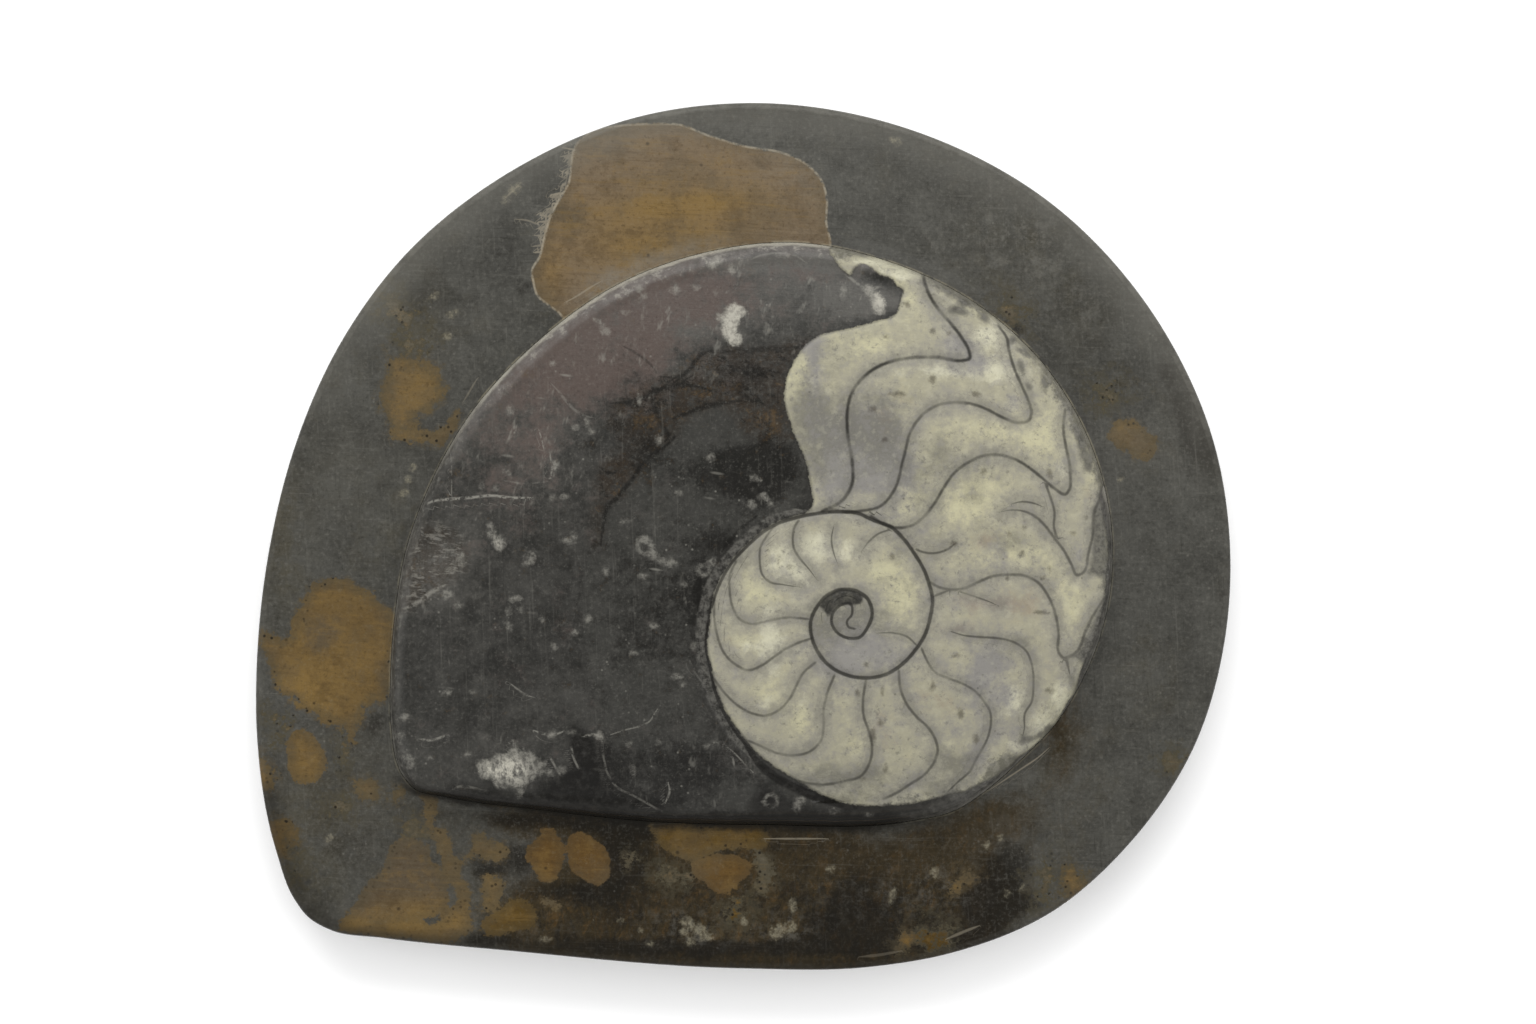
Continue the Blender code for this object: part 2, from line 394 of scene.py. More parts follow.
COIL_AREA = Area((
    (12.2, 41.1), (12.9, 39.9), (13.6, 38.8), (14.6, 37.8), (15.3, 37.2), (15.8, 38.2), (16.9, 38.9),
    (17.9, 38.7), (18.9, 37.9), (20.1, 37.2), (21.2, 36.9), (21.9, 35.9), (22.9, 35.3), (22.5, 33.9),
    (22.2, 32.5), (21.5, 31.5), (19.6, 30.9), (17.5, 30.3), (15.3, 29.7), (13.2, 29.3), (11.0, 28.7),
    (9.0, 27.3), (7.7, 25.7), (6.7, 23.9), (6.1, 22.1), (5.9, 20.4), (6.0, 18.7), (6.6, 16.7),
    (7.4, 14.2), (8.6, 11.6), (9.3, 9.2), (9.7, 6.9), (9.9, 4.6), (9.0, 3.4), (7.3, 2.9), (4.9, 2.1),
    (2.6, 0.7), (0.3, -1.3), (-1.9, -3.8), (-3.8, -7.2), (-4.5, -9.8), (-4.8, -12.9), (-5.1, -15.5),
    (-4.5, -18.7), (-3.6, -22.3), (-2.2, -25.4), (-0.3, -28.2), (1.8, -30.7), (4.1, -32.7), (7.1, -34.5),
    (9.2, -35.8), (11.7, -37.2), (14.5, -38.2), (17.6, -38.6), (20.8, -38.6), (24.0, -38.4),
    (27.5, -37.6), (29.7, -36.9), (31.8, -36.7), (34.0, -35.6), (36.3, -34.4), (38.2, -33.1),
    (39.9, -31.5), (41.8, -30.1), (43.3, -28.6), (44.7, -27.1), (45.7, -25.4), (46.7, -23.7),
    (47.7, -22.3), (48.1, -20.5), (48.9, -18.4), (49.8, -16.1), (50.8, -13.5), (51.6, -10.6),
    (51.8, -8.5), (52.1, -5.5), (52.4, -1.8), (52.0, 1.1), (51.5, 3.8), (51.2, 5.8), (52.1, 8.5),
    (51.7, 10.8), (50.8, 12.7), (49.9, 14.3), (49.1, 15.8), (48.1, 17.6), (47.1, 19.4), (46.0, 21.5),
    (44.8, 23.5), (43.8, 25.3), (42.3, 26.6), (40.7, 28.0), (39.0, 29.4), (37.3, 31.0), (35.3, 32.7),
    (33.7, 34.1), (31.9, 35.4), (30.1, 36.2), (28.2, 37.1), (25.9, 38.2), (23.3, 39.4), (20.9, 40.3),
    (18.2, 40.8), (15.6, 41.4), (13.6, 41.8),
))

SUTURES: Sequence[Line] = (
    Line(((25.8, 37.3), (26.5, 34.8), (27.8, 32.6), (29.6, 30.5), (31.3, 28.3), (32.3, 26.4),
          (32.4, 25.4),
          (31.4, 25.1), (28.0, 25.5), (24.2, 25.5), (21.7, 25.1), (18.9, 24.0), (16.9, 22.4),
          (15.5, 20.4),
          (14.9, 18.1), (14.9, 14.9), (15.6, 10.2), (15.5, 7.3), (14.0, 5.0), (11.2, 3.5)), half=0.24),
    Line(((36.6, 30.2), (37.7, 28.5), (38.0, 26.7), (38.8, 23.9), (39.9, 21.4), (40.8, 19.3),
          (41.2, 17.7),
          (40.8, 16.5), (39.5, 16.2), (37.0, 17.0), (34.9, 18.1), (33.0, 18.8), (30.4, 19.1),
          (27.8, 18.7),
          (25.8, 17.5), (24.2, 15.5), (22.9, 11.2), (21.5, 6.5), (19.6, 4.3), (16.8, 3.6), (12.2, 3.5)),
         half=0.21, strength=0.85),
    Line(((46.1, 18.1), (45.8, 15.7), (46.2, 12.6), (46.7, 10.2), (46.8, 8.5), (46.7, 6.8), (46.1, 6.0),
          (44.5, 6.8), (43.2, 7.9), (41.5, 9.3), (39.2, 10.8), (36.6, 11.6), (34.4, 11.5), (32.1, 10.5),
          (30.3, 9.2), (28.8, 7.2), (27.5, 5.0), (26.0, 3.0), (24.2, 1.6), (22.5, 1.2), (20.1, 1.7),
          (18.2, 2.9)), half=0.21, strength=0.85),
    Line(((43.2, 7.5), (43.9, 5.6), (44.5, 3.3), (44.4, 1.3), (44.9, -0.3)), half=0.17, strength=0.72),
    Line(((51.1, 5.5), (50.2, 3.3), (50.0, 0.2), (49.4, -2.4), (48.5, -5.3), (47.8, -5.6), (46.9, -4.0),
          (45.8, -2.0), (44.5, -0.3), (43.2, 1.4), (41.6, 2.9), (39.9, 3.6), (37.9, 3.7), (36.2, 3.3)),
         half=0.2, strength=0.72, end=0.1, taper=0.2),
    Line(((38.3, 4.6), (39.6, 4.9), (41.5, 4.7), (42.8, 4.2)),
          half=0.15, strength=0.72, start=0.2, end=0.3, taper=0.4),
    Line(((30.3, -1.0), (29.1, -1.9), (27.4, -2.4), (25.8, -2.3), (24.7, -1.9)),
          half=0.16, strength=0.72, start=0.3),
    Line(((51.7, -8.9), (50.0, -11.5), (49.0, -13.5), (47.8, -16.4), (46.7, -17.2), (45.8, -17.4),
          (45.2, -16.8), (45.1, -13.9), (44.6, -11.1), (43.6, -8.6), (42.1, -6.6), (40.0, -5.6),
          (37.9, -5.5),
          (35.7, -5.7), (33.4, -6.6), (31.3, -7.5), (29.6, -7.6), (27.8, -7.2), (26.7, -6.6)),
          half=0.2, strength=0.72),
    Line(((46.2, -17.4), (46.7, -19.7)), half=0.22, strength=0.72, end=0.3, taper=0.6),
    Line(((27.4, -8.5), (29.6, -7.6)), half=0.16, strength=0.72),
    Line(((30.9, -7.9), (33.0, -8.6), (35.0, -9.3), (36.6, -10.0)),
          half=0.12, strength=0.72, end=0.1, taper=0.4),
    Line(((29.7, -13.6), (31.3, -14.1), (34.0, -14.4), (36.6, -14.6), (38.8, -15.2), (40.5, -16.5),
          (41.2, -18.2), (41.5, -21.3), (41.2, -23.8), (40.3, -25.3), (40.2, -27.7), (39.9, -28.9)),
         half=0.16, strength=0.72, start=0.4, end=0.3),
    Line(((25.5, -16.1), (26.1, -17.5), (27.4, -19.4), (29.1, -20.2), (31.4, -21.1), (33.1, -22.1),
          (34.4, -23.6), (35.3, -25.1), (35.4, -26.9), (35.0, -28.7), (34.2, -30.4), (33.3, -32.0),
          (32.3, -33.8), (30.9, -35.0), (29.3, -36.5)), half=0.17, strength=0.72, end=0.5),
    Line(((22.2, -19.2), (22.4, -21.5), (23.2, -23.7), (24.7, -25.7), (26.4, -27.3), (27.4, -28.9),
          (27.8, -30.6), (27.3, -32.3), (26.0, -34.0), (23.8, -35.5), (21.8, -36.8), (20.1, -37.6)),
          half=0.19, strength=0.72),
    Line(((17.5, -20.6), (17.1, -23.6), (17.2, -25.6), (17.9, -27.7), (18.4, -29.9), (18.1, -32.3),
          (16.8, -34.3), (14.5, -35.0), (11.7, -35.5), (9.2, -35.3), (7.9, -35.0)),
          half=0.19, strength=0.72),
    Line(((13.0, -19.9), (11.9, -22.7), (11.5, -24.8), (11.5, -27.1), (11.2, -29.0), (9.6, -30.7),
          (7.1, -31.3),
          (4.6, -30.9), (2.4, -29.9), (0.8, -29.2)), half=0.18, strength=0.72),
    Line(((10.3, -18.0), (8.6, -19.5), (7.6, -21.3), (6.7, -23.1), (5.1, -24.8), (3.3, -25.6),
          (1.4, -25.3),
          (-0.8, -24.1), (-2.6, -22.4), (-4.1, -20.4)), half=0.18, strength=0.72),
    Line(((9.9, -14.5), (7.9, -15.2), (6.0, -16.1), (4.4, -17.2), (2.7, -18.4), (0.8, -19.1),
          (-1.2, -18.2),
          (-2.8, -16.5), (-3.6, -14.4), (-4.1, -11.6), (-4.1, -8.9)), half=0.18, strength=0.72),
    Line(((9.3, -11.8), (6.1, -11.6), (3.4, -12.1), (1.0, -12.5), (-0.5, -11.8), (-1.5, -10.0),
          (-1.9, -7.8),
          (-1.8, -5.3), (-1.0, -3.6)), half=0.17, strength=0.72),
    Line(((8.2, -7.3), (5.7, -6.9), (4.0, -6.6), (2.8, -5.6), (2.4, -3.6), (2.5, -1.6), (3.3, -0.1),
          (4.4, 1.4)), half=0.16, strength=0.72, start=0.1, taper=0.3),
    Line(((10.6, -6.3), (9.4, -4.7), (8.2, -3.3), (7.3, -1.9), (7.1, -0.1), (7.4, 1.4), (7.9, 2.2)),
         half=0.16, strength=0.72, start=0.1, taper=0.4),
    Line(((13.5, -4.0), (12.9, -2.3), (12.6, -0.4), (12.9, 1.4)),
          half=0.13, strength=0.72, start=0.1, end=0.3, taper=0.4),
    Line(((16.8, -2.3), (18.1, -0.6), (19.4, 0.4), (20.8, 0.9)),
          half=0.14, strength=0.72, start=0.2, taper=0.4),
    Line(((19.1, -13.8), (21.5, -13.8), (23.5, -14.4), (24.7, -15.5)),
          half=0.14, strength=0.72, start=0.2, taper=0.4),
)

SEAM_LINE = Line((
    (-4.5, -10.2), (-4.0, -8.6), (-3.4, -7.0), (-1.6, -3.8), (0.6, -1.4), (2.9, 0.6),
    (5.2, 1.9), (7.8, 2.7), (11.0, 3.3), (13.9, 3.5), (16.6, 3.2), (18.5, 2.3), (21.1, 1.3), (22.9, -0.4),
    (24.5, -2.6),
    (25.7, -4.6), (26.5, -6.7), (27.0, -8.8), (26.7, -11.5), (26.0, -13.9), (24.8, -15.9), (22.5, -18.4),
    (20.1, -19.8), (17.1, -20.2), (14.0, -19.5), (11.9, -18.1), (10.5, -16.2), (9.7, -13.9), (9.7, -11.9),
    (10.6, -10.0), (12.2, -8.3), (14.0, -7.6), (16.1, -7.8), (17.8, -9.0), (18.4, -11.1), (17.8, -12.9),
    (16.6, -14.4), (14.9, -14.5), (13.3, -13.6), (12.6, -12.2), (12.9, -10.8), (14.0, -9.8), (15.3, -9.6),
    (15.5, -11.2), (14.8, -12.2), (15.0, -12.9), (15.9, -13.2)), half=0.27, start=0.7, end=0.6, taper=0.2)

BARE_STONE: Sequence[Patch] = ovals(
    (29.4, 34.8, 0.86, 0.43, -35), (31.6, 33.5, 1, 0.57, -20), (34.4, 31.3, 1.1, 0.46, -38),
    (38.6, 28.0, 0.57, 0.57), (40.0, 26.4, 1.3, 0.34, -35), (39.8, 24.1, 0.36, 1, 15),
    (40.9, 21.3, 0.29, 0.57, 20), (43.1, 21.7, 0.37, 1.3, 12), (46.8, -20.1, 0.29, 0.43),
) + (
    Area(((30.0, 33.2), (31.4, 32.8), (32.3, 31.8), (30.9, 31.6), (29.4, 32.2))),
    Area(((47.5, 16.1), (48.4, 14.9), (49.0, 13.2), (49.7, 11.4), (50.0, 9.5), (49.2, 9.1), (48.5, 10.6),
        (47.9, 12.4), (47.4, 14.1))),
    Area(((50.2, 4.3), (51.1, 4.7), (51.7, 3.0), (52.0, -0.6), (52.1, -5.6), (51.3, -6.0), (50.2, -5.6),
        (49.2, -5.3), (49.7, -4.2), (50.0, -1.3), (50.0, 1.6))),
    Area(((52.0, -8.9), (51.3, -10.0), (50.4, -11.8), (49.7, -13.8), (48.7, -15.7), (47.8, -16.7),
        (46.9, -17.1), (48.1, -17.8), (49.2, -18.1), (50.1, -16.4), (51.0, -13.8), (51.8, -11.3))),
    Area(((39.6, -29.6), (39.9, -28.4), (40.9, -28.7), (42.6, -27.9), (43.6, -27.0), (44.2, -26.9),
        (44.6, -27.1), (43.1, -28.6), (41.2, -29.3))),
)

SPECKS: Sequence[Patch] = ovals(
    (30.0, -1.0, 0.5, 0.36), (40.2, 1.2, 0.36, 0.29), (47.1, 0.4, 0.36, 0.29), (49.0, 2.6, 0.26, 0.26),
    (27.0, -21.5, 0.29, 0.72, -10), (31.0, -25.3, 0.43, 0.72), (33.3, -29.0, 0.43, 0.65),
    (43.8, -22.1, 0.65, 0.36), (21.2, -2.9, 0.36, 0.36), (23.4, 33.2, 0.5, 0.36, -40),
    (27.1, 29.3, 0.36, 0.5), (20.4, 28.5, 0.29, 0.29), (29.4, 29.0, 0.26, 0.26), (22.1, 20.3, 1.3, 0.36),
    (33.3, 20.3, 0.72, 0.43), (27.1, 22.4, 0.43, 0.57, -30), (18.5, 18.1, 0.57, 0.43),
    (20.2, 13.7, 0.43, 0.36), (34.3, 9.2, 0.32, 0.32), (43.8, 8.9, 0.32, 0.86, 15),
    (38.0, 0.4, 0.29, 0.29),
    (39.8, -2.4, 0.29, 0.43), (43.8, -4.6, 0.22, 0.43), (37.7, -5.9, 0.23, 0.5),
    (42.8, -5.9, 0.43, 0.23, 35), (19.6, -26.7, 0.43, 0.43), (20.4, -33.3, 0.26, 0.72),
    (17.1, -34.8, 0.29, 0.29), (16.3, -22.4, 0.23, 0.57), (19.9, -22.1, 0.22, 0.57),
    (6.7, -4.3, 0.72, 0.22), (17.6, -18.2, 0.36, 0.36), (42.6, -10.9, 1.1, 0.29),
    (30.4, -17.1, 0.72, 0.17, 10), (18.5, -28.6, 0.43, 1.1),
)

WHORL_FILL = Area(
    ((11.0, -10.2), (11.3, -9.2), (12.3, -8.2), (13.6, -7.6), (14.8, -7.5), (16.1, -7.9), (17.1, -8.8),
    (16.9, -9.5), (15.6, -9.8), (14.5, -9.8), (13.5, -10.0), (12.7, -10.8), (12.3, -11.6), (11.9, -11.1),
    (11.5, -10.5)))

SHELL_BAND: Sequence[Line] = (
    Line(((9.0, 3.6), (6.7, 3.3), (4.4, 2.4), (2.4, 1.2), (0.1, -0.7), (-2.0, -3.0), (-3.8, -5.5),
        (-5.1, -8.3), (-5.8, -11.6), (-6.1, -15.2), (-5.8, -18.4), (-4.9, -21.5), (-3.5, -24.9),
        (-1.9, -27.6), (0.2, -30.4), (2.0, -32.4)), half=0.7, start=0.3, end=0.2, taper=0.12),
)

# Grooves round the coil, painted black as the shade inside them
MOAT: Sequence[Line] = (
    Line(((-4.4, -9.6), (-5.0, -12.9), (-5.3, -15.5), (-4.7, -18.8), (-3.9, -22.4), (-2.5, -25.7),
          (-0.6, -28.6), (1.6, -31.2)), half=0.2, strength=0.8),
    Line(((0.4, -30.2), (2.4, -32.6), (4.9, -34.6), (8.1, -36.3), (11.9, -37.8), (16.5, -38.8),
          (21.1, -39.0),
          (25.4, -38.6), (28.7, -37.6)), half=0.65, start=0.2, end=0.3, taper=0.12),
    Line(((-6.2, -6.0), (-6.6, -7.8), (-6.5, -9.8)), half=0.7, start=0.4, end=0.4, taper=0.4),
)

# Painted shadow: the black wedge and the black band where the fossil's dome falls away on its low side
SHADE_PATCHES: Sequence[Patch] = (
    Area(((-24.3, -27.3), (-23.2, -27.9), (-21.7, -28.7), (-20.6, -29.6), (-20.1, -31.7), (-19.7, -34.3),
        (-18.0, -36.1), (-14.8, -37.3), (-11.7, -38.8), (-7.6, -40.5), (-10.8, -41.1), (-14.8, -40.5),
        (-19.1, -39.9), (-24.2, -39.6), (-29.2, -39.1), (-34.2, -38.4), (-38.5, -37.9), (-42.4, -37.3),
        (-39.3, -36.1), (-34.9, -36.5), (-32.1, -37.3), (-30.3, -37.2), (-28.5, -35.3), (-26.3, -33.6),
        (-24.9, -31.5), (-24.6, -29.3))),
    Area(((0.7, -38.8), (2.0, -36.5), (3.6, -35.6), (5.6, -36.8), (8.2, -37.9), (11.3, -39.1),
        (14.6, -39.6), (18.2, -39.4), (22.5, -39.2), (26.8, -38.4), (29.7, -37.5), (30.4, -38.4),
        (28.3, -39.6), (24.0, -40.5), (18.2, -41.2), (12.5, -41.7), (6.7, -41.5), (3.0, -41.2),
        (1.3, -39.9))),
)

BROWN_STONE: Sequence[Patch] = (
    Area(((-6.6, 25.9), (-4.1, 26.7), (-0.5, 26.9), (3.1, 26.7), (6.7, 27.7), (9.9, 28.2), (8.2, 26.4),
        (6.7, 24.6), (6.0, 22.1), (5.9, 19.5), (6.4, 17.2), (7.0, 15.2), (5.3, 12.9), (2.4, 12.9),
        (0.3, 14.9), (-1.2, 17.0), (-3.3, 18.7), (-6.5, 17.5), (-8.5, 15.8), (-9.9, 13.8), (-12.7, 12.1),
        (-16.0, 12.4), (-18.3, 14.7), (-19.0, 17.8), (-17.4, 19.5), (-14.8, 21.0), (-12.0, 22.4),
        (-8.4, 22.8))),
    Area(((-20.0, 10.6), (-17.4, 12.1), (-14.8, 12.6), (-14.8, 9.5), (-17.0, 6.3), (-19.4, 4.0),
        (-20.0, 0.9), (-21.0, -1.3), (-21.7, 0.9), (-21.2, 5.2))),
)

CRACKS: Sequence[Line] = (
    Line(((-20.3, -1.3), (-19.9, 1.7), (-19.4, 4.0), (-18.0, 5.5), (-16.6, 7.2), (-15.3, 8.9),
         (-14.3, 10.5), (-13.0, 11.6), (-11.1, 12.8),
         (-9.7, 14.2)), half=0.3, strength=0.9, start=0.3, end=0.5, taper=0.2),
    Line(((-13.1, 19.8), (-12.5, 17.8), (-11.4, 15.8),
         (-10.5, 14.1)), half=0.4, strength=0.7, start=0.4, end=0.5, taper=0.3),
    Line(((-10.2, 16.7), (-6.8, 18.0), (-3.1, 19.0),
         (-0.2, 19.3)), half=0.4, strength=0.8, start=0.3, end=0.2, taper=0.3),
    Line(((-18.9, 19.0), (-15.7, 19.3), (-13.4, 20.1), (-10.8, 21.3), (-7.6, 21.6),
         (-4.5, 20.7)), half=0.42, strength=0.8, start=0.2, end=0.2, taper=0.3),
    Line(((-12.0, 22.8), (-9.1, 22.8), (-7.4, 24.1), (-6.4, 25.6),
         (-4.5, 26.6)), half=0.3, strength=0.8, start=0.3, end=0.3, taper=0.3),
    Line(((-17.4, 27.3), (-15.4, 26.2), (-13.7, 25.0),
         (-12.2, 23.3)), half=0.2, strength=0.5, start=0.2, end=0.2, taper=0.3),
    Line(((-24.0, -2.3), (-23.2, -4.9), (-23.2, -7.8),
         (-23.7, -10.0)), half=0.24, strength=0.3, start=0.3, end=0.3, taper=0.4),
    Line(((-6.2, 26.4), (-1.9, 26.4), (3.6, 26.7), (8.2, 27.0),
         (10.7, 27.9)), half=0.35, strength=0.6, start=0.3, end=0.3, taper=0.3),
    Line(((2.0, 2.9), (-0.2, 1.2), (-1.9, -0.6),
         (-3.1, -2.3)), half=0.3, strength=0.7, start=0.3, end=0.3, taper=0.3),
)

PALE_PATCHES: Sequence[Patch] = ovals(
    (-28.0, -33.6, 1, 0.43, -20), (-25.9, -33.3, 0.57, 0.43), (19.2, 33.3, 1, 1.7, 10),
    (17.9, 35.1, 0.72, 0.86, 30), (-4.1, 39.4, 1.3, 0.86, 20), (-3.1, 40.4, 0.86, 0.57),
    (-1.6, 38.2, 0.43, 0.72), (-9.8, 35.3, 0.86, 0.5, 8), (-14.8, 35.5, 0.57, 0.5),
    (-16.6, 35.2, 0.43, 0.43), (-14.1, 34.3, 0.43, 0.29), (-16.8, 32.0, 0.72, 0.29),
    (-19.7, 29.3, 0.86, 0.5, -35), (-20.6, 30.5, 1.1, 0.29, -30), (-3.1, 31.3, 0.57, 0.43),
    (14.3, 34.9, 0.43, 1.1), (5.7, 40.2, 1.1, 0.23), (-6.8, 35.6, 0.57, 0.29), (-40.3, -3.4, 0.5, 1.3),
    (-34.9, -0.9, 0.93, 1.1, 25), (-36.0, 0.4, 0.57, 0.86, 30), (-30.5, -3.2, 0.72, 1.1, -35),
    (-31.1, -3.9, 0.43, 0.57), (-42.3, -8.3, 0.72, 0.65), (-40.7, -9.8, 0.57, 0.36),
    (-32.6, -8.9, 1, 0.36),
    (-31.9, -10.0, 0.43, 1.1, 20), (-33.5, -10.6, 0.36, 0.57), (-33.5, -12.9, 0.36, 0.72, 30),
    (-22.0, -11.8, 0.57, 0.43), (-23.9, -13.8, 0.43, 0.43), (-26.9, -15.8, 0.36, 0.43),
    (-28.8, -11.9, 0.36, 0.43), (-9.4, -20.0, 0.65, 0.5), (-8.5, -21.1, 0.36, 0.22),
    (-48.4, -25.9, 0.57, 0.5), (-47.7, -32.5, 0.57, 1, -20), (-48.2, -31.5, 0.72, 0.36),
    (-42.3, -22.4, 0.57, 0.43, 20), (-38.7, -22.3, 0.57, 0.22), (-24.9, -0.6, 1, 0.43),
    (-24.2, 0.0, 0.43, 0.57), (-19.6, -5.0, 0.5, 0.5), (-14.3, -5.7, 0.65, 0.29), (-14.1, -1.3, 1.3, 1.3),
    (-10.8, -3.7, 1.6, 0.65, -12), (-13.4, -2.3, 1.4, 0.72, -30), (-5.6, -4.9, 0.93, 0.93),
    (-4.5, -3.7, 0.57, 0.65), (-8.5, -6.9, 0.36, 0.29), (-25.6, 5.6, 0.72, 0.36),
    (-27.2, 5.5, 0.43, 0.43),
    (-4.5, 11.2, 0.57, 0.5), (-9.2, 6.3, 0.43, 0.29), (-24.0, 15.5, 0.5, 0.36),
    (-22.3, 16.2, 0.29, 0.57, 20), (-21.6, 14.9, 0.43, 0.29), (-27.3, 24.7, 0.29, 0.5),
    (-33.4, 18.0, 0.43, 0.72), (-33.7, 9.1, 0.72, 0.29, -25), (-37.4, 7.2, 0.43, 0.29),
    (-26.8, 10.2, 0.43, 0.86), (-12.0, 13.8, 0.43, 0.72), (-14.8, 19.7, 0.29, 0.86),
    (-19.4, 11.1, 0.36, 0.36), (-15.6, -16.7, 0.43, 0.29), (-12.7, -12.8, 0.72, 0.29),
    (-49.2, -28.7, 0.86, 0.43), (-27.3, -28.3, 0.57, 0.5), (-24.5, -28.0, 0.57, 0.29),
    (-20.6, -28.6, 0.57, 0.72), (-16.3, -29.7, 0.36, 0.29), (-12.0, -29.4, 0.29, 0.29),
    (-15.7, -33.6, 0.22, 0.86, 5), (-5.1, -30.0, 0.43, 0.29, 30), (-4.1, -29.4, 0.36, 0.22),
    (-7.1, -15.7, 0.43, 0.43), (-44.7, -31.7, 0.43, 0.29), (-39.3, -31.2, 0.57, 0.29),
    (4.0, -37.9, 1.1, 1.1), (7.7, -38.8, 0.72, 0.86), (8.3, -37.8, 0.57, 0.57),
    (13.2, -39.6, 0.86, 0.72, -30), (12.3, -40.8, 0.43, 0.57), (17.8, -39.9, 0.43, 0.57),
    (18.5, -39.6, 0.29, 0.43), (20.2, -39.5, 0.36, 0.22), (22.9, -39.9, 0.57, 0.57),
    (24.2, -39.9, 0.29, 0.43), (25.8, -39.4, 0.57, 0.36), (27.1, -39.1, 0.43, 0.29),
    (-2.3, -39.6, 0.57, 0.29), (0.7, -39.4, 0.36, 0.22), (-7.4, -40.5, 0.36, 0.29),
    (-35.4, 6.8, 0.43, 0.29), (-43.6, 1.0, 0.43, 0.43), (-36.1, 1.6, 0.43, 0.29),
    (-16.6, 2.2, 1.1, 0.23, 15), (1.7, 8.3, 0.86, 0.29, -20), (3.1, 5.6, 0.72, 0.43, -40),
    (1.3, 4.5, 0.57, 0.57), (3.8, 4.6, 0.43, 0.29),
) + (
    Area(((-38.1, -33.3), (-38.0, -32.3), (-37.0, -31.9), (-36.1, -32.2), (-35.2, -31.0), (-33.9, -31.2),
        (-33.2, -30.4), (-32.6, -29.3), (-31.9, -30.9), (-30.5, -30.7), (-29.2, -31.7), (-28.2, -32.5),
        (-28.9, -33.9), (-30.2, -34.8), (-31.2, -35.6), (-31.9, -37.5), (-32.8, -35.9), (-34.9, -36.1),
        (-36.1, -34.6), (-37.2, -34.8))),
    Area(((-2.3, 32.6), (-1.3, 33.2), (-0.2, 32.9), (0.5, 32.2), (0.0, 31.5), (-0.6, 30.5), (-0.8, 29.2),
        (-0.2, 28.3), (-0.6, 27.3), (-1.8, 27.3), (-2.6, 28.3), (-3.1, 29.9), (-2.9, 31.5))),
)

CRUSTS: Sequence[Patch] = (
    Area(((-49.5, -1.3), (-47.6, 1.2), (-44.7, 2.0), (-41.8, 0.9), (-39.5, -1.3), (-39.3, -3.7),
        (-40.4, -5.5), (-42.4, -6.9), (-44.1, -8.3), (-46.4, -9.8), (-48.7, -10.9), (-49.7, -9.2),
        (-49.9, -5.6))),
)

SOLID = tints((-1.2, 30.2, 2.6, 5.0, 1.3), (19.8, 34.2, 1.7, 2.9, 0.9), (-4.1, 39.4, 1.7, 1.1, 0.6))

SHINE = tints(
    (-35.4, -33.3, 2.3, 1.3, 1), (-32.6, -33.3, 2, 2, 1), (-1.5, 31.0, 0.7, 1.4, 0.8),
    (-3.1, 39.4, 1.3, 0.9, 0.5), (-34.9, -0.9, 0.9, 1, 0.5),
    (19.5, 33.5, 0.9, 1.3, 0.7), (-45.0, 5.2, 2, 0.7, 0.6), (-47.9, -9.8, 1.4, 0.7, 0.4),
)

RINGS: Sequence[Patch] = ovals(
    (4.0, -37.9, 0.72, 0.72), (-14.1, -1.6, 0.72, 0.72), (-5.5, -4.7, 0.49, 0.49),
    (-32.1, -9.8, 0.57, 0.57), (-30.5, -3.0, 0.29, 0.57, -35),
)

